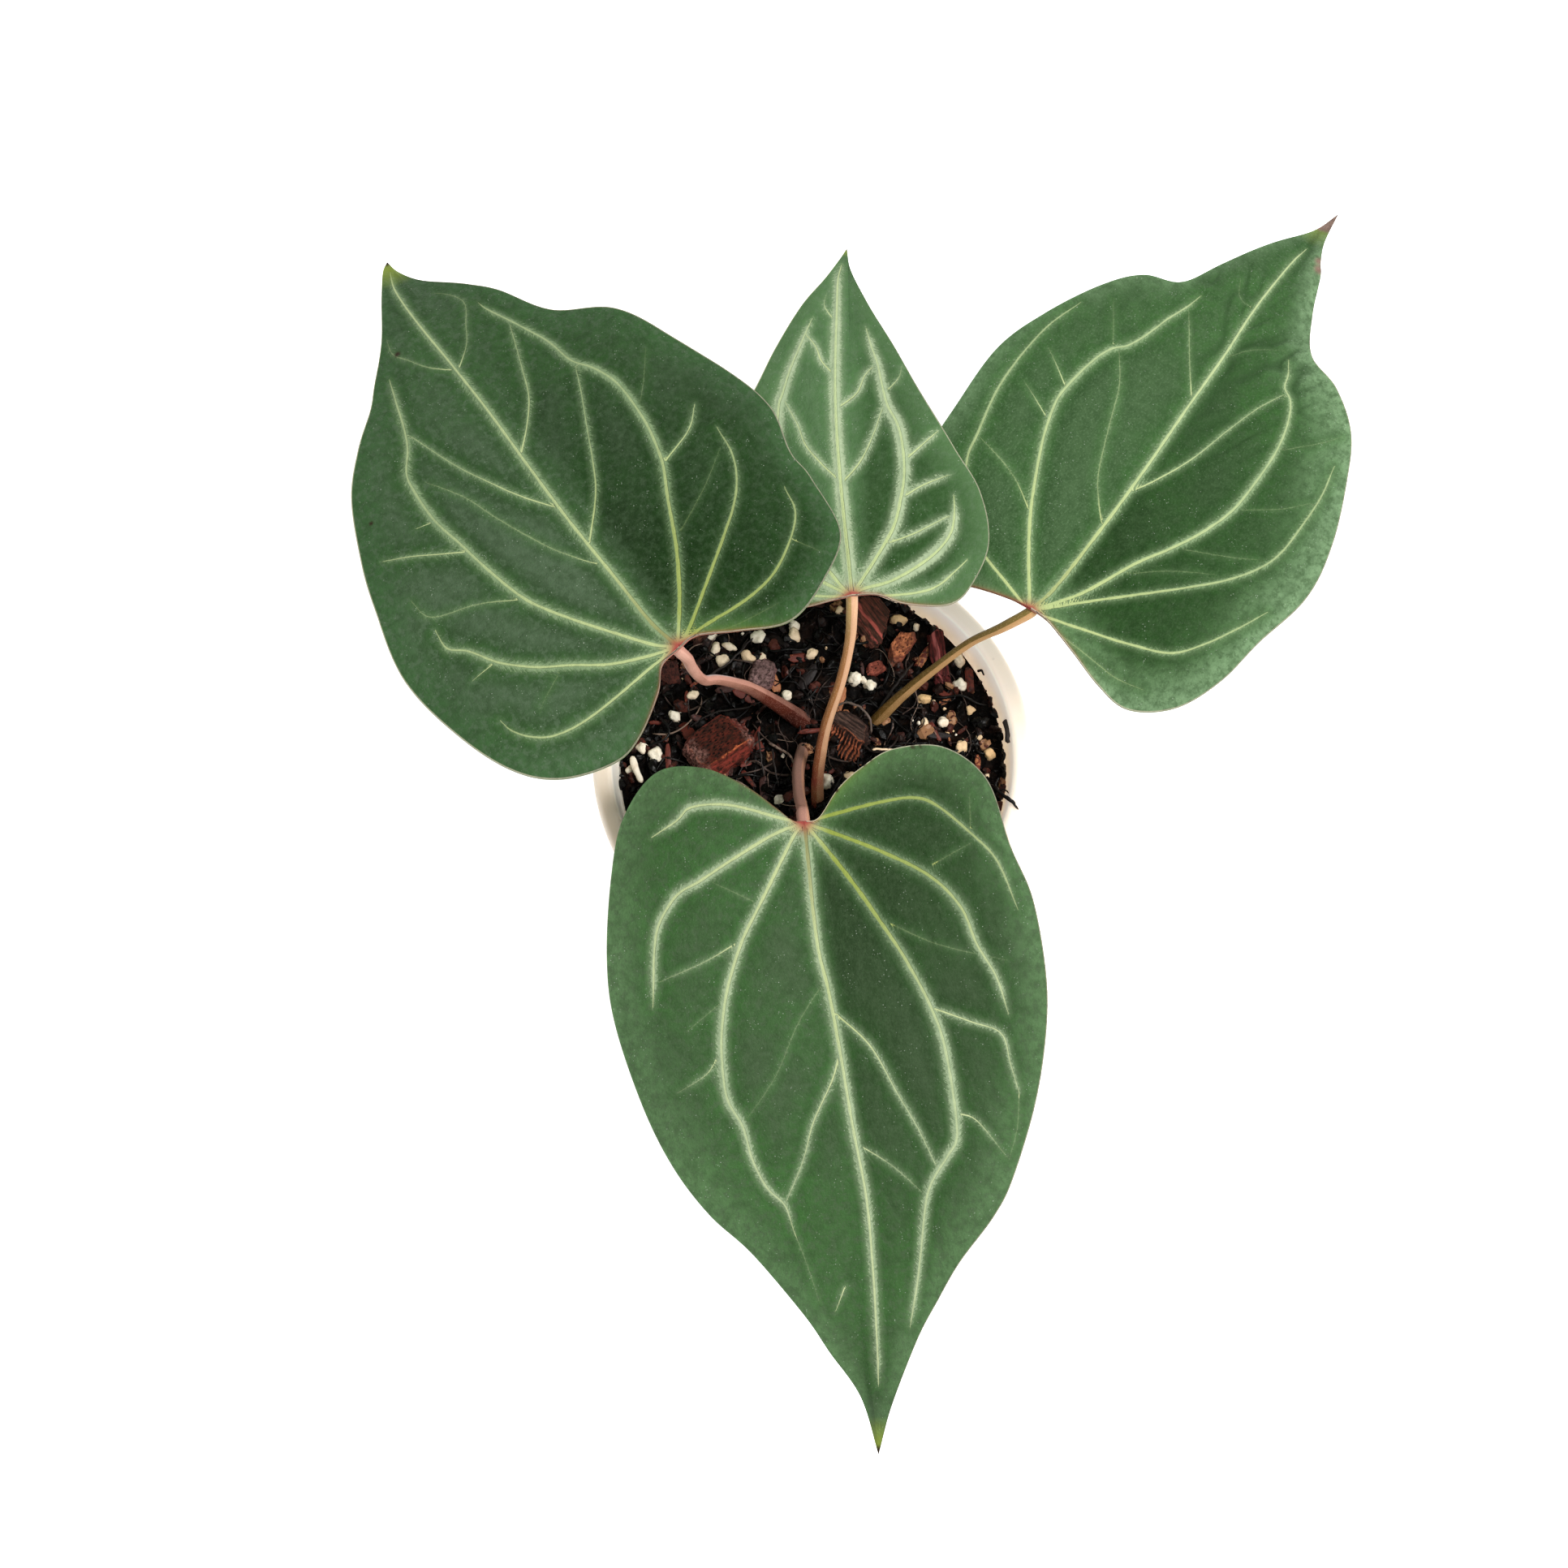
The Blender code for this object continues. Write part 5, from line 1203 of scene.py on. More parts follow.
def plastic():
    """Cream plastic that lets some light through its thin wall, a little marked: warm cloudy stains inside
    above the soil with painted shade that grows towards the soil, fine scuffs and specks. The inner wall is
    painted as a lighter copy of the cream, and on the window's side it has a faint painted glow, warmer near
    the soil."""
    paint = Paint("cream_plastic", 0.42, specular=0.35, subsurface=1.0)
    paint.shader.inputs["Subsurface Radius"].default_value = (1.0, 1.0, 1.0)
    paint.shader.inputs["Subsurface Scale"].default_value = 0.005
    inner, low = paint.attribute("inner"), paint.attribute("low")
    cloud = paint.noise(26.0, 4.0, roughness=0.6)
    color = paint.mix(paint.ramp(cloud, 0.3, 0.7), OUTER_CREAM, OUTER_PALE)
    # painted light: the inner wall is a lighter copy of the cream
    color = paint.mix(inner, color, INNER_LIT_CREAM)
    # warm stains inside, with painted shade that grows towards the soil
    stain_and_shade = paint.times(inner, paint.ramp(cloud, 0.35, 0.65, 0.45, 1.0))
    stain_and_shade = paint.times(stain_and_shade, paint.ramp(low, 0.0, 1.0, 0.25, 0.90))
    color = paint.mix(stain_and_shade, color, STAIN_AND_SHADE)
    rare = paint.ramp(paint.noise(70.0, 1.0), 0.56, 0.66)
    speck = paint.times(paint.ramp(paint.dots(260.0), 0.13, 0.06), rare)
    color = paint.mix(paint.times(speck, 0.7), color, SOIL_SPECK)
    scuff = paint.noise(1.0, 3.0, None, (160.0, 160.0, 900.0), 0.6)
    color = paint.mix(paint.ramp(scuff, 0.62, 0.78, 0.0, 0.12), color, SCUFF)
    # painted glow on the window's side, warmer near the soil
    through = paint.mix(low, GLOW_HIGH, GLOW_LOW)
    through = paint.mix(paint.ramp(cloud, 0.35, 0.65, 0.0, 0.5), through, GLOW_CLOUD)
    painted_glow = paint.times(paint.attribute("painted_glow"), WALL_GLOW)
    paint.tree.links.new(through, paint.shader.inputs["Emission Color"])
    paint.tree.links.new(painted_glow, paint.shader.inputs["Emission Strength"])
    paint.bump(scuff, 0.12, 0.0002)
    return paint.finish(color, paint.ramp(scuff, 0.2, 0.8, 0.36, 0.52))


# %% Make the pot


def make_pot():
    """The turned shell with its slots cut, and two round discs that close the middle of the floor."""
    profile, inner, outer = pot_profile()
    rows = len(profile)
    angle = np.arange(POT_COLUMNS) * 2 * np.pi / POT_COLUMNS
    around = np.column_stack((np.cos(angle), np.sin(angle)))
    flat = profile[:, 0, None, None] * around
    tall = np.repeat(profile[:, 1, None], POT_COLUMNS, axis=1)
    points = np.dstack((flat, tall)).reshape(-1, 3)
    faces = grid_faces(rows, POT_COLUMNS, closed=True)
    row = np.repeat(np.arange(rows - 1), POT_COLUMNS)
    column = np.tile(np.arange(POT_COLUMNS), rows - 1)
    pitch = POT_COLUMNS // DRAIN_SLOTS
    in_slot = np.abs(column % pitch + 0.5 - pitch / 2) < DRAIN_HALF
    inside = (row >= inner.min()) & (row < inner.max()) | (row >= outer.min()) & (row < outer.max())
    kept = faces[~(in_slot & inside)][:, ::-1]
    walls = []
    wide = 2 * DRAIN_HALF
    down, back = np.arange(DRAIN_ROWS), np.arange(DRAIN_ROWS, 0, -1)
    loop_row = np.concatenate((np.zeros(wide, int), down, np.full(wide, DRAIN_ROWS), back))
    for start in range(pitch // 2 - DRAIN_HALF, POT_COLUMNS, pitch):
        columns = np.arange(start, start + wide + 1)
        near, far = np.full(DRAIN_ROWS, columns[0]), np.full(DRAIN_ROWS, columns[-1])
        loop_column = np.concatenate((columns[:-1], far, columns[:0:-1], near))
        upper = inner[loop_row] * POT_COLUMNS + loop_column
        lower = outer[loop_row] * POT_COLUMNS + loop_column
        walls.append(np.column_stack((upper, np.roll(upper, -1), np.roll(lower, -1), lower)))
    everything = np.vstack((kept, *walls)).tolist()
    everything.append(np.arange(POT_COLUMNS).tolist())
    everything.append((np.arange(POT_COLUMNS) + (rows - 1) * POT_COLUMNS)[::-1].tolist())
    x, y, z = points.T
    inside_wall = held((RIM_RADIUS - RIM_WIDTH + 0.6 - np.hypot(x, y)) / 0.8) * (z > 6)
    # where the painted glow goes: the inner wall and the rim's top on the window's side
    toward_window = held((x - 5.0) / 38.0)
    values = {
        "inner": inside_wall,
        "low": held((103.5 - z) / 7.0),
        "painted_glow": np.maximum(inside_wall, z > POT_HEIGHT - 2) * toward_window,
    }
    made = piece("cream_pot", points, everything, plastic(), values, replaces=("pot",))
    made.data.set_sharp_from_angle(angle=math.radians(50))


make_pot()

# %% [markdown]
# ## Soil
# The mix is coarse: black fibrous peat and bark crumbs, reddish bark, white perlite and thin roots. Its
# body is a closed lump with a fine rough top. The loose bits lie on that top as pieces of their own, made
# in one go from arrays, each bit with its own size, turn and dents from a seeded draw.

# %% Soil body
SOIL_CELLS = 210
SOIL_RELIEF = 0.9
SOIL_DIP = 0.8
SOIL_FLAT_RADIUS = 44.0
SOIL_FADE = 8.0
SEAT_GAP = 0.3
SOIL_RADIUS = wall_radius(SOIL_LEVEL) - POT_WALL - SEAT_GAP
SOIL_BEND = 8.0
SOIL_FOOT = 2.9


def soil_height(x, y):
    """Top of the soil as in the solids: long and short ripples that fade out at the wall."""
    fade = held((SOIL_FLAT_RADIUS + SOIL_FADE - np.hypot(x, y)) / SOIL_FADE)
    ripple = np.sin(0.31 * x + 1.1) * np.cos(0.27 * y - 0.4) + 0.6 * np.sin(0.73 * x - 0.55 * y)
    return SOIL_LEVEL - SOIL_DIP * (1 - fade) + SOIL_RELIEF * fade * ripple


def soil_roughness(x, y):
    """Lumps and pits over the level: noise of three sizes, the middle one folded into sharp valleys."""
    p = np.column_stack((x, y, np.zeros_like(x)))
    broad, folded, fine = (value_noise(p, size, seed) for size, seed in ((5.2, 31), (2.3, 32), (1.1, 33)))
    return 0.55 * broad - 0.8 * np.abs(folded) + 0.35 * fine + 0.12


def soil_finish():
    """Nearly black, damp peat with brown patches and a little gleam."""
    paint = Paint("soil_mix", 0.8, specular=0.03)
    patch = paint.noise(170.0, 4.0, roughness=0.65)
    grain = paint.noise(1400.0, 2.0)
    color = paint.mix(paint.ramp(patch, 0.48, 0.74), (0.0016, 0.0012, 0.0011), (0.012, 0.006, 0.004))
    color = paint.mix(paint.ramp(grain, 0.62, 0.80, 0.0, 0.35), color, (0.04, 0.026, 0.020))
    paint.bump(paint.plus(patch, grain), 0.6, 0.0006)
    return paint.finish(color, paint.ramp(grain, 0.3, 0.7, 0.85, 0.45))


def make_soil():
    """A disc net of rough soil whose edge runs down the inside of the pot to its floor."""
    line = np.linspace(-1.0, 1.0, SOIL_CELLS + 1)
    x, y = np.meshgrid(line, line, indexing="ij")
    share = np.maximum(np.abs(x), np.abs(y)).ravel()
    angle = np.arctan2(y, x)
    side = np.round(angle / (np.pi / 2))
    turned = angle - side * np.pi / 2
    even = (side * np.pi / 2 + np.tan(turned) * np.pi / 4).ravel()
    px = SOIL_RADIUS * share * np.cos(even)
    py = SOIL_RADIUS * share * np.sin(even)
    height = soil_height(px, py) + soil_roughness(px, py) * held((1 - share) * 30 + 0.3)
    top = np.column_stack((px, py, height))
    loop = net_edge(SOIL_CELLS)
    rim = top[loop]
    bend = (wall_radius(SOIL_BEND) - POT_WALL - SEAT_GAP, SOIL_BEND)
    foot = (wall_radius(0) - POT_WALL - FOOT_ROUND - 2 * SEAT_GAP, SOIL_FOOT)
    around = unit(rim[:, :2])
    rings = [np.column_stack((around * radius, np.full(len(rim), level))) for radius, level in (bend, foot)]
    count = len(loop)
    first = len(top)
    ring_a = first + np.arange(count)
    ring_b = ring_a + count
    faces = grid_faces(SOIL_CELLS + 1, SOIL_CELLS + 1).tolist()
    for upper, lower in ((loop, ring_a), (ring_a, ring_b)):
        faces += np.column_stack((upper, lower, np.roll(lower, -1), np.roll(upper, -1))).tolist()
    faces.append(ring_b[::-1].tolist())
    piece("soil_body", np.vstack((top, *rings)), faces, soil_finish(), replaces=("soil",))


make_soil()

# %% [markdown]
# The loose bits share one recipe: a small ball of points is stretched, dented by noise, turned at random
# and put down. Perlite keeps round and pale, crumbs are sharp and dark, bark slivers are long and flat.

# %% Loose lumps
# Place across and back, diameter, tone from white through cream to tan
PERLITE = (
    (-28, 37, 3.1, 0.1), (-27, 33, 4.0, 0.4), (-23, 34, 3.3, 0.4), (-25, 30, 3.7, 0.5), (-18, 31, 4.4, 0.65),
    (-14, 31, 3.1, 0.5), (-15, 37, 3.7, 0.1), (-5, 40, 3.3, 0.0), (-5, 37, 3.6, 0.55), (0, 32, 3.2, 0.6),
    (-33, 20, 2.8, 0.5), (-38, 14, 3.0, 0.0), (-7, 20, 2.9, 0.3), (-47, 5, 3.6, 0.0), (-43, 3, 3.7, 0.1),
    (-50, -1, 2.6, 0.0), (-9, -10, 3.5, 0.0), (4, -5, 4.0, 0.1), (10, -3, 2.6, 0.7), (8, 44, 3.4, 0.65),
    (24, 42, 3.9, 0.85), (12, 25, 4.4, 0.0), (16, 23, 3.7, 0.0), (41, 30, 3.5, 0.45), (41, 23, 4.2, 0.0),
    (31, 19, 3.6, 0.95), (36, 12, 2.6, 0.3), (44, 16, 2.2, 0.8), (29, 40, 1.8, 0.4), (31, 12, 2.4, 0.6),
    (46, 8, 2.0, 0.7), (41, 5, 3.3, 0.75), (49, 3, 2.6, 0.9), (48, -3, 2.1, 0.6), (19, 38.5, 3.3, 0.45),
    (14.5, 24.6, 2.6, 0.0),
)


def ball(level):
    """Points and triangles of a small even ball."""
    made = bmesh.new()
    bmesh.ops.create_icosphere(made, subdivisions=level, radius=1.0)
    points = np.array([vertex.co[:] for vertex in made.verts])
    faces = np.array([[vertex.index for vertex in face.verts] for face in made.faces])
    made.free()
    return points, faces


def random_turns(draw, count):
    """Evenly spread random rotations, from unit quaternions."""
    w, x, y, z = unit(draw.normal(size=(count, 4))).T
    rows = (
        (1 - 2 * (y * y + z * z), 2 * (x * y - w * z), 2 * (x * z + w * y)),
        (2 * (x * y + w * z), 1 - 2 * (x * x + z * z), 2 * (y * z - w * x)),
        (2 * (x * z - w * y), 2 * (y * z + w * x), 1 - 2 * (x * x + y * y)),
    )
    return np.moveaxis(np.array(rows), 2, 0)


def lumps(places, sizes, turns, dent, level, seed, boxy=0.0):
    """Many dented balls: place + turn (size * ball * (1 + dent * noise)), boxy ones pressed to a cube."""
    points, faces = ball(level)
    if boxy:
        points = points / np.max(np.abs(points), axis=1, keepdims=True) ** boxy
    count = len(places)
    own = points[None] + np.arange(count)[:, None, None] * 17.3
    bump = value_noise(own.reshape(-1, 3), 0.9, seed) + 0.5 * value_noise(own.reshape(-1, 3), 0.4, seed + 1)
    shaped = points[None] * (1 + dent * bump.reshape(count, -1, 1)) * np.asarray(sizes)[:, None]
    shaped = np.einsum("nij,nvj->nvi", turns, shaped) + np.asarray(places)[:, None]
    numbered = faces[None] + np.arange(count)[:, None, None] * len(points)
    return shaped.reshape(-1, 3), numbered.reshape(-1, 3).tolist(), len(points)


def scatter(draw, count, reach):
    """Random places on the soil within a radius."""
    angle = draw.uniform(0, 2 * np.pi, count)
    radius = reach * np.sqrt(draw.uniform(0, 1, count))
    return radius * np.cos(angle), radius * np.sin(angle)


def perlite_finish():
    """Chalky white grains, some stained tan, with tan on their lower sides that is partly damp and partly
    painted shade, and fine pores.
    """
    paint = Paint("perlite", 0.78)
    tone = paint.attribute("tone")
    cloud = paint.noise(420.0, 3.0)
    color = paint.mix(paint.ramp(tone, 0.1, 1.0), (0.72, 0.65, 0.54), (0.56, 0.36, 0.17))
    color = paint.mix(paint.ramp(cloud, 0.50, 0.75, 0.0, 0.45), color, (0.42, 0.28, 0.16))
    # tan on the lower side of each grain: partly damp, partly painted shade
    color = paint.mix(paint.ramp(paint.attribute("low"), 0.2, 0.9, 0.0, 0.75), color, (0.42, 0.27, 0.14))
    pores = paint.dots(1800.0)
    color = paint.mix(paint.ramp(pores, 0.22, 0.05, 0.0, 0.25), color, (0.22, 0.15, 0.10))
    paint.bump(pores, 0.4, 0.0003)
    return paint.finish(color)


def make_perlite():
    """The grains of the list in their places, then others where nothing shows, and fine ones all over."""
    draw = np.random.default_rng(11)
    x, y, d, tone = np.array(PERLITE, float).T
    more_x, more_y = scatter(draw, 34, 50.0)
    far = np.min(np.hypot(more_x[:, None] - x, more_y[:, None] - y), axis=1) > 5.0
    hidden = far & ((more_y < -12.0) | (np.hypot(more_x, more_y) > 44.0))
    fine_x, fine_y = scatter(draw, 70, 51.0)
    x = np.concatenate((x, more_x[hidden], fine_x))
    y = np.concatenate((y, more_y[hidden], fine_y))
    d = np.concatenate((d, draw.uniform(2.4, 4.2, hidden.sum()), draw.uniform(0.5, 1.3, len(fine_x))))
    tone = np.concatenate((tone, draw.uniform(0, 1, len(d) - len(tone)) ** 1.6))
    sizes = d[:, None] / 2 * draw.uniform(0.72, 1.20, (len(d), 3))
    places = np.column_stack((x, y, soil_height(x, y) + 0.22 * d))
    points, faces, each = lumps(places, sizes, random_turns(draw, len(d)), 0.36, 3, 41)
    values = {
        "tone": np.repeat(tone, each),
        "low": 0.5 - (points[:, 2] - np.repeat(places[:, 2], each)) / np.repeat(d, each),
    }
    piece("perlite_grains", points, faces, perlite_finish(), values, replaces=("soil",))


# %% Crumbs, slivers and fibres
# Four colours of each kind, from the common dark one to the rare bright one
CRUMB_COLORS = ((0.0018, 0.0015, 0.0014), (0.013, 0.007, 0.006), (0.052, 0.014, 0.010), (0.24, 0.12, 0.060))
SLIVER_COLORS = ((0.007, 0.004, 0.004), (0.030, 0.011, 0.009), (0.092, 0.019, 0.013), (0.28, 0.108, 0.048))
FIBRE_COLORS = ((0.0028, 0.0024, 0.0024), (0.013, 0.009, 0.008), (0.052, 0.034, 0.028), (0.16, 0.11, 0.085))
STRAY_COLORS = ((0.0022, 0.0018, 0.0018), (0.018, 0.014, 0.013), (0.085, 0.062, 0.052), (0.75, 0.56, 0.38))
CRUMBS = 760
WALL_CRUMBS = 240
WALL_CRUMB_REACH = 52.6
SLIVERS = 150
FIBRES = 560
FIBRE_STEPS = 12
FIBRE_SIDES = 5
UPRIGHT = np.array((0.0, 0.0, 1.0))


def bits_finish(name, roughness, colors):
    """One finish for many bits: their stored tone picks one of four colours, with a little noise."""
    paint = Paint(name, roughness, specular=0.14)
    tone = paint.plus(paint.attribute("tone"), paint.ramp(paint.noise(900.0), 0.2, 0.8, -0.07, 0.07))
    color = paint.mix(paint.ramp(tone, 0.52, 0.62), colors[0], colors[1])
    color = paint.mix(paint.ramp(tone, 0.76, 0.82), color, colors[2])
    color = paint.mix(paint.ramp(tone, 0.93, 0.96), color, colors[3])
    grain = paint.noise(2600.0, 2.0)
    paint.bump(grain, 0.5, 0.0002)
    return paint.finish(color)


def bits_piece(name, points, faces, tones, finish):
    """Many bits as one piece that belongs to the soil; each bit's points get that bit's tone."""
    values = {"tone": np.repeat(tones, len(points) // len(tones))}
    return piece(name, points, faces, finish, values, replaces=("soil",))


def make_crumbs():
    """Small sharp black and brown crumbs over the whole surface, thicker at the wall."""
    draw = np.random.default_rng(12)
    x, y = scatter(draw, CRUMBS, 52.0)
    ring = draw.uniform(0, 2 * np.pi, WALL_CRUMBS)
    x = np.concatenate((x, WALL_CRUMB_REACH * np.cos(ring)))
    y = np.concatenate((y, WALL_CRUMB_REACH * np.sin(ring)))
    size = draw.uniform(0.35, 1.0, len(x)) ** 1.7 * 1.9 + 0.25
    size[CRUMBS:] *= 0.75
    sizes = size[:, None] * draw.uniform(0.45, 1.15, (len(x), 3))
    places = np.column_stack((x, y, soil_height(x, y) + 0.25 * size - 0.1))
    points, faces, _ = lumps(places, sizes, random_turns(draw, len(x)), 0.55, 2, 51)
    tones = draw.uniform(0, 1, len(x))
    finish = bits_finish("crumbs", 0.38, CRUMB_COLORS)
    made = bits_piece("soil_crumbs", points, faces, tones, finish)
    made.data.shade_flat()


def make_slivers():
    """Long flat slivers of dark and reddish bark lying on the soil, each turned about the vertical after a
    small tilt."""
    draw = np.random.default_rng(13)
    x, y = scatter(draw, SLIVERS, 50.0)
    long = draw.uniform(1.6, 4.6, len(x))
    sizes = np.column_stack((long, long * draw.uniform(0.16, 0.42, len(x)), draw.uniform(0.3, 0.8, len(x))))
    turn = draw.uniform(0, 2 * np.pi, len(x))
    tilt = draw.normal(0, 0.25, len(x))
    ct, st, cp, sp = np.cos(turn), np.sin(turn), np.cos(tilt), np.sin(tilt)
    nil = np.zeros_like(ct)
    turns = np.moveaxis(np.array(((ct * cp, -st, -ct * sp), (st * cp, ct, -st * sp), (sp, nil, cp))), 2, 0)
    places = np.column_stack((x, y, soil_height(x, y) + 0.35))
    points, faces, _ = lumps(places, sizes, turns, 0.28, 2, 61, 0.55)
    tones = draw.uniform(0.3, 1, len(x))
    finish = bits_finish("slivers", 0.5, SLIVER_COLORS)
    made = bits_piece("bark_slivers", points, faces, tones, finish)
    made.data.shade_flat()


def make_fibres():
    """Thin curved roots and peat fibres that lie over one another.

    Each runs on at even steps as its heading turns, and its middle may arch up. One in five is thick."""
    draw = np.random.default_rng(14)
    x, y = scatter(draw, FIBRES, 48.0)
    thick = draw.uniform(0, 1, FIBRES) < 0.22
    length = np.where(thick, draw.uniform(8.0, 22.0, FIBRES), draw.uniform(4.0, 17.0, FIBRES))
    share = np.linspace(-0.5, 0.5, FIBRE_STEPS)
    heading = draw.uniform(0, 2 * np.pi, FIBRES)[:, None] + draw.normal(0, 1.3, FIBRES)[:, None] * share
    heading = heading + draw.normal(0, 0.5, FIBRES)[:, None] * np.sin(7 * share)
    step = length[:, None] / (FIBRE_STEPS - 1)
    px = x[:, None] + np.cumsum(np.cos(heading) * step, axis=1)
    py = y[:, None] + np.cumsum(np.sin(heading) * step, axis=1)
    keep = np.hypot(px, py).max(axis=1) < 52.5
    px, py, share = px[keep], py[keep], share + 0.5
    size = np.where(thick, draw.uniform(0.28, 0.50, FIBRES), draw.uniform(0.09, 0.24, FIBRES))[keep]
    radius = size[:, None] * (1 - 0.5 * share) * np.ones(FIBRE_STEPS)
    arch = draw.uniform(-0.4, 2.4, keep.sum())[:, None] * np.sin(np.pi * share)
    pz = soil_height(px, py) + radius + 0.25 + arch
    radius[:, [0, -1]] *= 0.3
    points, faces = tubes(np.dstack((px, py, pz)), radius, FIBRE_SIDES, UPRIGHT)
    tones = draw.uniform(0, 1, keep.sum())
    bits_piece("soil_fibres", points, faces, tones, bits_finish("fibres", 0.33, FIBRE_COLORS))


# Single roots and straws that stand out: the points of each line, its radii at both ends and its tone
STRAYS = (
    ((48.7, -6.6, 98.0), (49.6, -8.4, 101.5), (50.9, -10.1, 104.2), (52.4, -12.0, 105.9),
     (54.2, -13.6, 105.9), (55.6, -15.3, 105.6), 0.75, 0.38, 0.2),
    ((50.4, -9.4, 103.5), (52.0, -9.6, 105.2), (53.2, -10.8, 105.6), 0.30, 0.18, 0.2),
    ((49.4, -8.0, 101.0), (50.2, -6.4, 101.2), (50.8, -5.2, 101.4), 0.35, 0.22, 0.2),
    ((52.6, 10.9, 101.4), (53.3, 8.0, 102.2), (53.2, 4.4, 102.2), 0.72, 0.62, 0.62),
    ((52.3, 3.4, 98.2), (52.6, 1.6, 99.4), (52.0, -0.2, 97.8), 0.42, 0.25, 0.3),
    ((45.6, 25.8, 99.2), (46.6, 25.4, 100.6), (47.3, 24.2, 100.4), 0.35, 0.22, 0.3),
    ((16.3, 3.8, 98.4), (21.0, 3.5, 98.7), (25.6, 3.4, 98.6), 0.34, 0.26, 0.99),
    ((5.4, 15.8, 97.6), (9.0, 16.6, 99.6), (13.0, 15.2, 100.2), (15.8, 12.0, 99.4), (16.3, 8.7, 97.2),
     0.30, 0.36, 0.86),
    ((17.7, 14.4, 97.0), (23.0, 21.8, 98.8), (28.1, 28.9, 97.4), 0.42, 0.30, 0.62),
    ((20.4, 14.0, 96.8), (25.4, 20.4, 98.6), (31.0, 26.6, 97.2), 0.34, 0.24, 0.45),
    ((-14.9, 9.2, 97.0), (-14.2, 3.0, 98.0), (-13.4, -3.4, 96.8), 0.28, 0.20, 0.70),
    ((-11.0, 4.2, 97.0), (-10.4, -1.0, 97.9), (-9.2, -6.6, 96.6), 0.30, 0.18, 0.68),
    ((-30.5, 24.0, 96.8), (-23.0, 28.4, 99.2), (-16.4, 36.0, 97.6), 0.38, 0.24, 0.66),
    ((-24.0, 24.6, 97.4), (-19.0, 22.4, 98.6), (-11.0, 19.4, 97.2), 0.30, 0.22, 0.66),
    ((-33.6, 10.6, 96.8), (-26.8, 14.2, 98.4), (-18.0, 15.6, 98.6), (-10.4, 19.4, 96.8), 0.26, 0.18, 0.64),
)
STRAY_STEPS = 24
STRAY_SIDES = 10
WHITE_ROOT = ((-49.6, 2.2, 96.6), (-48.6, -1.4, 97.4), (-46.8, -5.4, 96.6))
WHITE_ROOT_RADIUS = 0.95
WHITE_ROOT_SIDES = 14


def make_strays():
    """Single roots and a straw that lie over the rest, on the wall and over the rim, and one white root."""
    paths = np.array([evenly(stray[:-3], STRAY_STEPS) for stray in STRAYS])
    ends = np.array([stray[-3:-1] for stray in STRAYS])
    share = np.linspace(0.0, 1.0, STRAY_STEPS)
    radii = ends[:, :1] * (1 - share) + ends[:, 1:] * share
    rough = value_noise(paths.reshape(-1, 3), 1.1, 71).reshape(radii.shape)
    radii = radii * (1 + 0.28 * rough)
    radii[:, [0, -1]] *= 0.35
    paths[:, 1:-1, :2] += 0.22 * np.dstack((rough, np.roll(rough, 3, axis=1)))[:, 1:-1]
    points, faces = tubes(paths, radii, STRAY_SIDES, UPRIGHT)
    tones = [stray[-1] for stray in STRAYS]
    bits_piece("stray_roots", points, faces, tones, bits_finish("strays", 0.4, STRAY_COLORS))
    white = np.array([evenly(WHITE_ROOT, STRAY_STEPS)])
    blunt = np.sqrt(1.03 - (2 * share - 1) ** 4)
    thick = WHITE_ROOT_RADIUS * (1 + 0.2 * value_noise(white[0], 1.6, 72)) * blunt
    points, faces = tubes(white, thick[None], WHITE_ROOT_SIDES, UPRIGHT)
    # with the perlite finish its lower side gets the same tan, partly painted shade
    values = {"tone": np.zeros(len(points)), "low": 0.5 - (points[:, 2] - 97.0) / 2.0}
    finish = bpy.data.materials["perlite"]
    piece("white_root", points, faces, finish, values, replaces=("soil",))


make_perlite()
make_crumbs()
make_slivers()
make_fibres()
make_strays()

# %% [markdown]
# ## Bark chips
# The large chips are broken pine bark: blocks whose layers run along them, with torn ends. A box with
# rounded edges is cut by a few planes, as a break would, and then worn by noise that is long in the
# direction of the grain. Each is put where its solid lies.

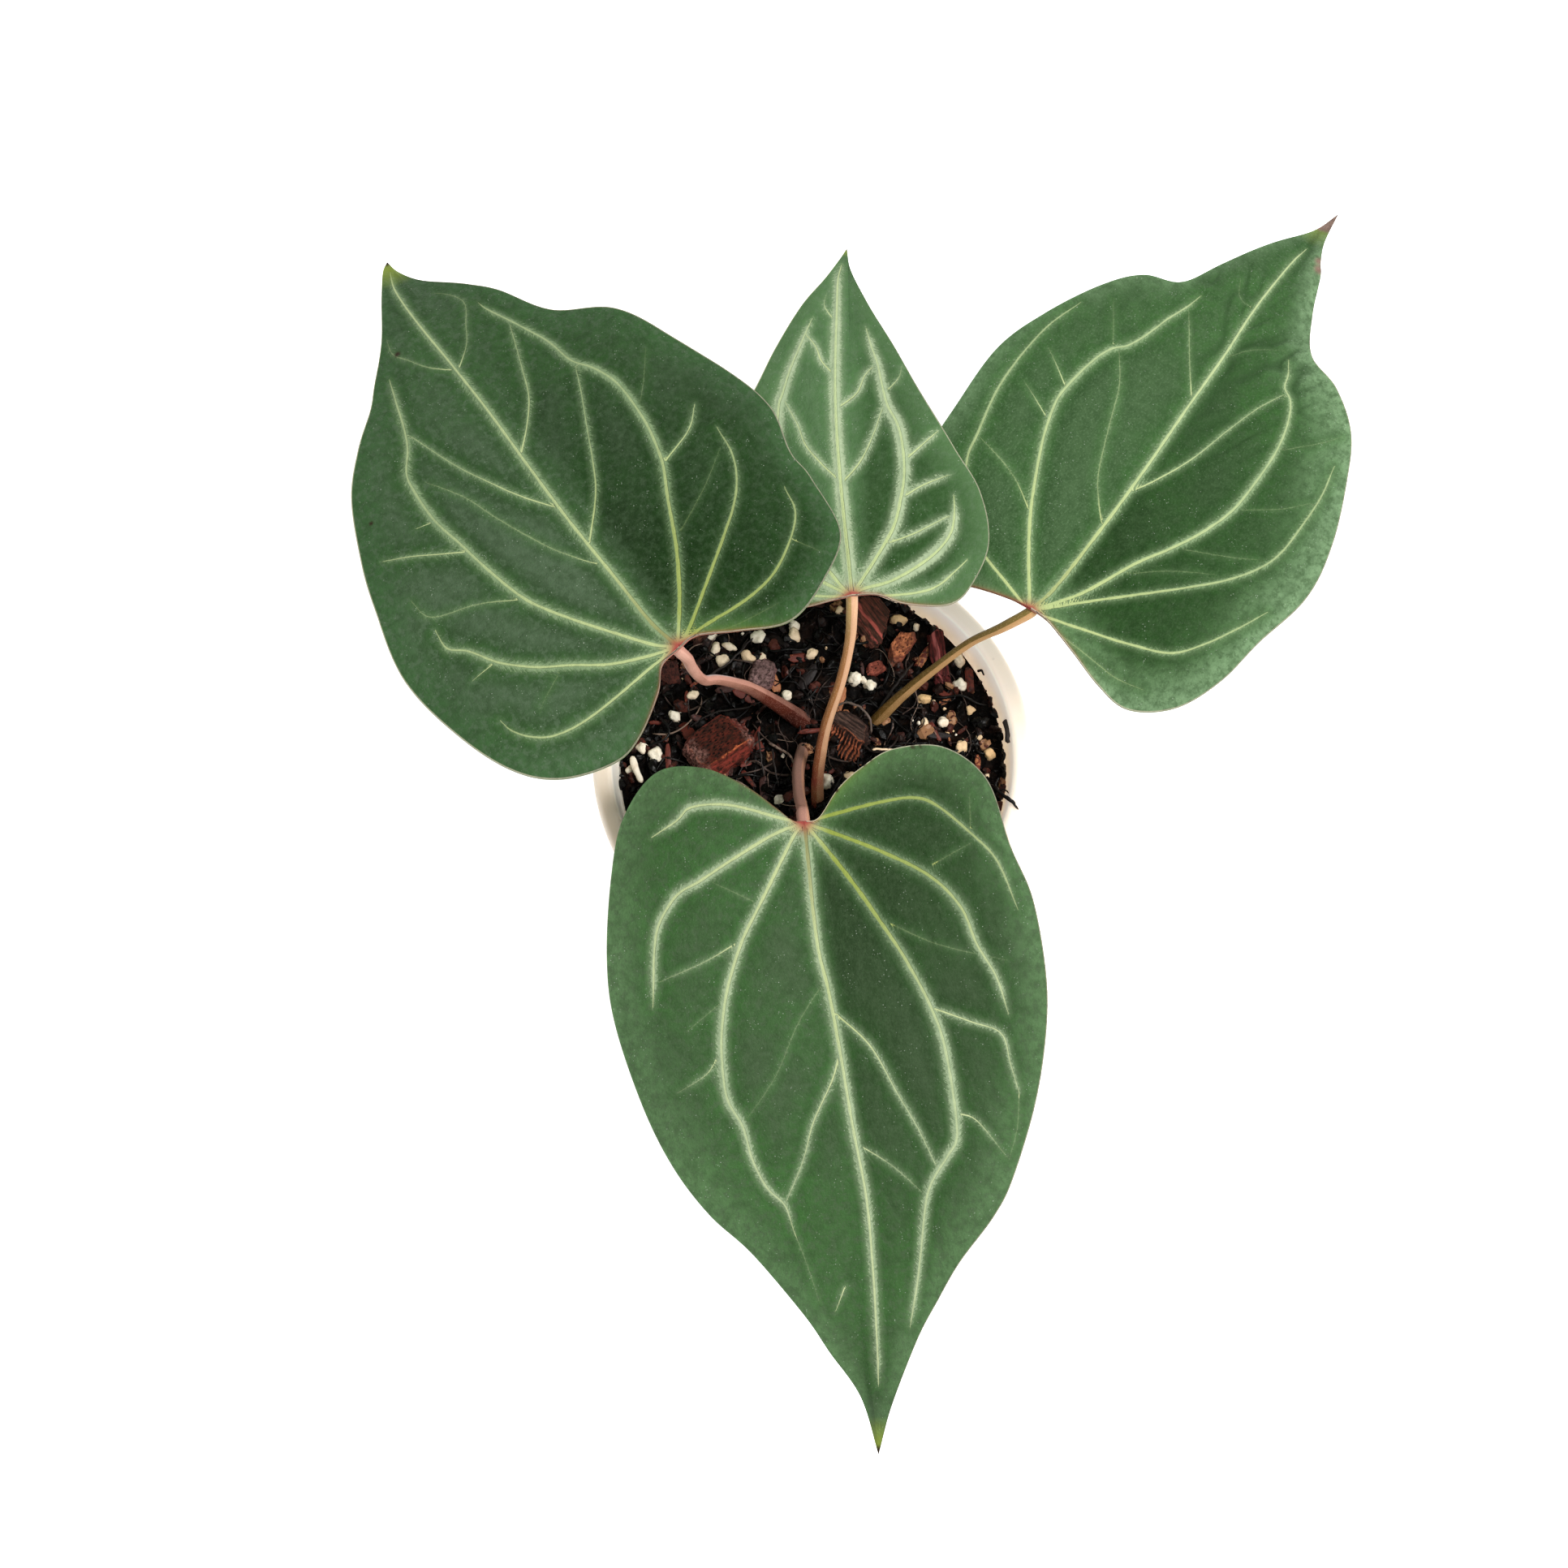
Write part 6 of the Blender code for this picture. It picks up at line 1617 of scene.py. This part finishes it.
# %% Bark chips
# at, turn and tilt: place and turns in degrees; size: along the grain, across it and up
# shows: how far it stands out of the soil; net: cells along each edge of its net; kind: how it is broken
# dark, light and side: colours of the layers and of the broken sides
# torn: colour of torn edges, which on the first cut also carries a painted highlight, and of teeth; crust:
# colour of the worn ends, where it has them
# stripe: place of the bright stripe across the grain
# cuts: each plane's direction in the chip's own axes and the share of the half size where it cuts
CHIPS = {
    "bark_chip_block": dict(
        at=(-25.6, 4.3), turn=36, tilt=4, size=(17.4, 13.0, 10.5), shows=6.8, net=60, kind="block",
        dark=(0.018, 0.007, 0.004), light=(0.092, 0.016, 0.009), side=(0.150, 0.023, 0.016),
        torn=(0.74, 0.185, 0.070), crust=(0.250, 0.125, 0.105),
        cuts=((0.0, -0.62, 0.78, 0.87), (0.80, 0.10, 0.60, 0.88), (-0.75, -0.15, 0.65, 0.93),
              (0.62, -0.78, 0.1, 0.90), (-0.8, -0.6, 0.2, 0.88), (-0.55, 0.83, 0.1, 0.92),
              (0.7, 0.7, 0.2, 0.88))),
    "bark_chip_striped": dict(
        at=(16.4, 41.8), turn=-52, tilt=5, size=(13.5, 10.5, 5.5), shows=3.6, net=38, kind="striped",
        dark=(0.030, 0.017, 0.012), light=(0.160, 0.046, 0.032), side=(0.11, 0.016, 0.012),
        torn=(0.48, 0.105, 0.085), stripe=-1.0,
        cuts=((0.0, -0.7, 0.7, 0.84), (0.81, 0.585, 0.05, 0.58), (-0.6, 0.7, 0.1, 0.80))),
    "bark_chip_orange": dict(
        at=(24.2, 33.0), turn=56, tilt=14, size=(12.2, 4.9, 4.6), shows=3.6, net=34, kind="slab",
        dark=(0.170, 0.050, 0.028), light=(0.66, 0.225, 0.100), side=(0.22, 0.062, 0.040),
        torn=(0.30, 0.14, 0.100), crust=(0.120, 0.085, 0.070),
        cuts=((-0.7, 0.8, 0.2, 0.50), (-0.8, -0.7, 0.3, 0.66), (0.8, 0.6, 0.4, 0.80),
              (0.7, -0.7, 0.6, 0.84))),
    "bark_chip_small": dict(
        at=(17.6, 27.6), turn=20, tilt=-6, size=(5.2, 3.6, 3.4), shows=2.0, net=16, kind="slab",
        dark=(0.130, 0.030, 0.020), light=(0.34, 0.090, 0.060), side=(0.22, 0.048, 0.034),
        torn=(0.34, 0.11, 0.08),
        cuts=((0.8, 0.7, 0.5, 0.8), (-0.8, 0.5, 0.6, 0.70), (-0.3, -0.9, 0.5, 0.8))),
    "bark_chip_strip": dict(
        at=(35.1, 31.9), turn=97, tilt=5, size=(17.8, 4.2, 4.4), shows=2.7, net=34, kind="striped",
        dark=(0.030, 0.008, 0.008), light=(0.200, 0.036, 0.034), side=(0.06, 0.010, 0.010),
        torn=(0.42, 0.115, 0.110), stripe=0.6,
        cuts=((0.9, 0.6, 0.3, 0.74), (0.9, -0.5, 0.5, 0.80), (-0.9, 0.4, 0.4, 0.82))),
    "bark_chip_fibrous": dict(
        at=(9.2, 8.4), turn=-38, tilt=-6, size=(12.8, 10.4, 5.6), shows=3.8, net=54, kind="fringe",
        dark=(0.014, 0.008, 0.007), light=(0.110, 0.062, 0.048), side=(0.012, 0.004, 0.003),
        torn=(0.46, 0.130, 0.060),
        cuts=((0.0, -0.62, 0.78, 0.36), (0.9, 0.6, 0.4, 0.80), (-0.8, 0.8, 0.4, 0.84),
              (-0.8, -0.7, 0.2, 0.84))),
    "bark_chip_lump": dict(
        at=(-13.8, 25.6), turn=75, tilt=8, size=(8.6, 6.4, 5.2), shows=3.4, net=34, kind="cluster",
        dark=(0.050, 0.028, 0.027), light=(0.310, 0.185, 0.180), side=(0.18, 0.09, 0.088),
        torn=(0.16, 0.09, 0.08),
        cuts=((0.9, 0.6, 0.4, 0.8), (-0.8, 0.7, 0.4, 0.8), (-0.6, -0.8, 0.5, 0.8))),
    "bark_chip_left": dict(
        at=(-39.6, 26.2), turn=100, tilt=-10, size=(6.5, 5.6, 4.6), shows=2.8, net=18, kind="slab",
        dark=(0.024, 0.009, 0.008), light=(0.090, 0.025, 0.018), side=(0.04, 0.010, 0.008),
        torn=(0.12, 0.035, 0.025),
        cuts=((0.9, 0.6, 0.4, 0.8), (-0.8, 0.7, 0.4, 0.8))),
    "bark_chip_inner": dict(
        at=(-31.0, 38.0), turn=30, tilt=9, size=(6.2, 4.8, 4.2), shows=2.6, net=18, kind="slab",
        dark=(0.032, 0.013, 0.010), light=(0.13, 0.050, 0.030), side=(0.05, 0.018, 0.012),
        torn=(0.15, 0.055, 0.035),
        cuts=((0.9, 0.6, 0.4, 0.8), (-0.8, 0.7, 0.4, 0.8))),
}
CHIP_ROUND = 0.4
LUMP_ROUND = 2.2
CUT_REACH = 0.88
PIT_ROW = 1.35
# painted shade in pits and small holes
PIT_SHADE = (0.003, 0.0015, 0.001)
# How the layers' pattern is squeezed: a small first number draws it out along the grain
GRAIN_STRETCH = {
    "block": (0.5, 1.3, 1.3), "slab": (0.7, 0.9, 1.2), "striped": (0.16, 1.5, 1.9),
    "fringe": (0.22, 1.9, 1.4), "cluster": (1.2, 1.2, 1.2),
}
# How each kind of chip is worn: depth of the layers along it, of its lumps, of its torn ends, of ridges
# across its front, of pits in its top
CHIP_WEAR = {
    "block": (0.16, 0.95, 0.50, 0.0, 0.55),
    "slab": (0.28, 0.50, 0.55, 0.0, 0.15),
    "striped": (0.75, 0.25, 0.90, 0.0, 0.0),
    "fringe": (0.60, 0.80, 0.50, 1.1, 0.0),
    "cluster": (0.0, 1.70, 0.0, 0.0, 0.0),
}


def box_net(cells):
    """Points of a cube from -1 to 1 with a square net on each side, joined at the edges, and its quads."""
    line = np.linspace(-1.0, 1.0, cells + 1)
    u, v = (grid.ravel() for grid in np.meshgrid(line, line, indexing="ij"))
    one = np.ones_like(u)
    sides = ((u, v, one), (v, u, -one), (one, u, v), (-one, v, u), (v, one, u), (u, -one, v))
    loose = np.vstack([np.column_stack(side) for side in sides])
    key = np.round(loose * 1e5).astype(np.int64)
    kept, back = np.unique(key, axis=0, return_inverse=True)
    quads = np.vstack([grid_faces(cells + 1, cells + 1, index * len(u)) for index in range(6)])
    return kept / 1e5, back.ravel()[quads]


def chip_finish(name, chip):
    """Bark: cloudy with painted shade in its pits and small holes on a block, layered on a striped one, with
    bright teeth on a fringe; torn edges along the cuts, with a painted highlight on the first.
    """
    paint = Paint(name + "_bark", 0.70, specular=0.12)
    grain = paint.attribute("grain", "Vector")
    is_broken = paint.attribute("broken")
    layers = paint.noise(1.0, 5.0, grain, GRAIN_STRETCH[chip["kind"]], 0.68)
    cloud = paint.noise(0.30, 4.0, grain, roughness=0.6)
    specks = paint.noise(6.0, 2.0, grain)
    coarse = paint.noise(1.3, 3.0, grain, roughness=0.6)
    color = paint.mix(paint.ramp(layers, 0.38, 0.64), chip["dark"], chip["light"])
    color = paint.mix(paint.ramp(cloud, 0.42, 0.66, 0.0, 0.55), color, chip["dark"])
    rough = paint.mix(paint.ramp(layers, 0.34, 0.62), chip["dark"], tuple(1.5 * c for c in chip["side"]))
    color = paint.mix(paint.times(is_broken, paint.ramp(cloud, 0.3, 0.6, 0.5, 0.95)), color, rough)
    # painted shade in the pits
    color = paint.mix(paint.ramp(paint.attribute("pit"), 0.2, 0.7, 0.0, 0.92), color, PIT_SHADE)
    if chip["kind"] == "block":
        stretched = paint.node("ShaderNodeMapping", Vector=grain, Scale=(0.50, 1.10, 0.0)).outputs[0]
        # painted shade as small dark holes on the top; the mesh has no holes there
        hole_shade = paint.ramp(paint.dots(0.95, stretched), 0.30, 0.20)
        hole_shade = paint.times(hole_shade, paint.ramp(coarse, 0.44, 0.54))
        color = paint.mix(paint.times(hole_shade, paint.ramp(is_broken, 0.4, 0.1)), color, PIT_SHADE)
    if "crust" in chip:
        crust = paint.mix(paint.ramp(coarse, 0.36, 0.62), chip["dark"], chip["crust"])
        color = paint.mix(paint.times(paint.attribute("crust"), 0.85), color, crust)
    bright = tuple(1.8 * c + 0.03 for c in chip["light"])
    color = paint.mix(paint.ramp(specks, 0.60, 0.80, 0.0, 0.30), color, bright)
    # torn edges along the cuts; on the first cut partly a painted highlight, brighter towards one end
    torn = paint.times(paint.attribute("edge"), paint.ramp(coarse, 0.34, 0.60, 0.20, 1.0))
    color = paint.mix(paint.times(torn, 0.9), color, chip["torn"])
    teeth = paint.ramp(paint.attribute("ridge"), 0.15, 0.75)
    teeth = paint.times(teeth, paint.ramp(layers, 0.3, 0.6, 0.4, 1.0))
    color = paint.mix(teeth, color, chip["torn"])
    paint.bump(paint.plus(layers, specks), 0.8, 0.0007)
    return paint.finish(color)


def chip_turn(chip):
    """The chip's turn about the vertical after its tilt, as one matrix."""
    turn, tilt = math.radians(chip["turn"]), math.radians(chip["tilt"])
    lean = np.array(((math.cos(tilt), 0, math.sin(tilt)), (0, 1, 0), (-math.sin(tilt), 0, math.cos(tilt))))
    swing = np.array(((math.cos(turn), -math.sin(turn), 0), (math.sin(turn), math.cos(turn), 0), (0, 0, 1)))
    return swing @ lean


def make_chip(name, chip):
    """A rounded box cut by planes and worn along its grain, turned and put in its place.

    Pits follow rows along the grain: two sine waves multiplied, long along the grain and short across it,
    bent by noise so that no two are alike. Ridges across the front are a wave along the grain. The grain
    map keeps each point's place in the chip's own axes for the finish."""
    unit_points, faces = box_net(chip["net"])
    half = np.array(chip["size"]) / 2
    rounded = LUMP_ROUND if chip["kind"] == "cluster" else CHIP_ROUND
    core = np.clip(unit_points * half, -(half - rounded), half - rounded)
    p = core + unit(unit_points * half - core) * rounded
    seed = sum(map(ord, name))
    jagged = 0.28 * value_noise(p, 1.5, seed + 9)
    on_top = unit_points[:, 2]
    edge = np.zeros(len(p))
    broken = (on_top < 0.99).astype(float)
    for number, (*toward, share) in enumerate(chip["cuts"]):
        normal = unit(np.array(toward))
        over = np.maximum(p @ normal - share * CUT_REACH * np.abs(normal) @ half + jagged, 0.0)
        p = p - over[:, None] * normal
        # a line along the top of each cut: torn bark, and on the first cut a painted highlight that
        # brightens towards one end
        line = np.exp(-(over - 0.2) ** 2 / 0.035) * (over > 0.02) * (on_top > 0.9)
        bright = np.clip(0.7 + 0.8 * p[:, 0] / half[0], 0.1, 1.0) if number == 0 else 0.22
        edge = np.maximum(edge, line * bright)
        broken = np.maximum(broken, held(over / 0.5))
    layer, lump, end, across, depth = CHIP_WEAR[chip["kind"]]
    cluster = chip["kind"] == "cluster"
    along = p * (0.22, 1.0, 1.0)
    wear = layer * (value_noise(along, 1.1, seed) + 0.5 * value_noise(along, 0.5, seed + 1))
    bumps = value_noise(p, 2.4 if cluster else 3.4, seed + 2)
    wear += lump * (np.abs(bumps) if cluster else bumps) + 0.14 * value_noise(p, 0.7, seed + 5)
    bend = value_noise(p, 2.4, seed + 4)
    crust = held((np.abs(p[:, 0] / half[0] - 0.06) - 0.66 + 0.22 * bend) * 5) * ("crust" in chip)
    wear += 0.8 * crust * value_noise(p, 1.3, seed + 8)
    front = held((-p[:, 1] / half[1] + 0.25) * 1.8) * (across > 0)
    ragged = value_noise(p * (1.0, 0.4, 0.4), 1.3, seed + 7)
    teeth = 1.3 * np.sin(p[:, 0] * 5.6 + 2.4 * bend + 1.3 * ragged)
    ridge = held(teeth + 0.5 * ragged) * front
    row = p[:, 1] / PIT_ROW
    rows = np.sin(2.9 * p[:, 0] + 2.2 * bend + 3 * np.round(row)) * np.cos(2 * np.pi * row + bend)
    pit = held(2.4 * rows - 1.2 + value_noise(p, 1.6, seed + 6)) * (1 - broken) * (depth > 0)
    if "stripe" in chip:
        ridge = np.exp(-((p[:, 1] - chip["stripe"] + 0.5 * bend) / 0.5) ** 2)
    torn = end * np.abs(unit_points[:, 0]) ** 6 * value_noise(p * (0.1, 1.0, 1.0), 0.8, seed + 3)
    p = p + unit(p / half) * (0.6 * wear + across * (ridge - 0.6 * front))[:, None]
    p[:, 0] += torn * np.sign(p[:, 0])
    p[:, 2] -= depth * pit
    centre = np.array((*chip["at"], SOIL_LEVEL + chip["shows"] - chip["size"][2] / 2))
    values = {
        "edge": held(edge) * (not cluster), "ridge": ridge, "pit": pit, "crust": crust,
        "broken": broken * (chip["kind"] != "striped"),
    }
    placed = p @ chip_turn(chip).T + centre
    finish = chip_finish(name, chip)
    made = piece(name + "_broken", placed, faces.tolist(), finish, values, replaces=(name,))
    stored = made.data.attributes.new("grain", "FLOAT_VECTOR", "POINT")
    stored.data.foreach_set("vector", p.astype(np.float32).ravel())


for chip_name, chip_spec in CHIPS.items():
    make_chip(chip_name, chip_spec)

# %% Floor and last measurements


def make_floor():
    """A plain pale floor that the pot stands on."""
    paint = Paint("pale_floor", 0.9, specular=0.2)
    tone = paint.mix(paint.noise(3.0), (0.94, 0.94, 0.94), (0.96, 0.96, 0.96))
    paint.shader.inputs["Emission Color"].default_value = (1.0, 1.0, 1.0, 1.0)
    paint.shader.inputs["Emission Strength"].default_value = FLOOR_GLOW
    mesh = bpy.data.meshes.new("floor")
    h = FLOOR_HALF
    mesh.from_pydata([(-h, -h, 0.0), (h, -h, 0.0), (h, h, 0.0), (-h, h, 0.0)], [], [(0, 1, 2, 3)])
    mesh.materials.append(paint.finish(tone))
    floor = bpy.data.objects.new("floor", mesh)
    bpy.context.scene.collection.objects.link(floor)


make_floor()
print(len(triangle_counts), "new pieces with", sum(triangle_counts), "triangles in all")
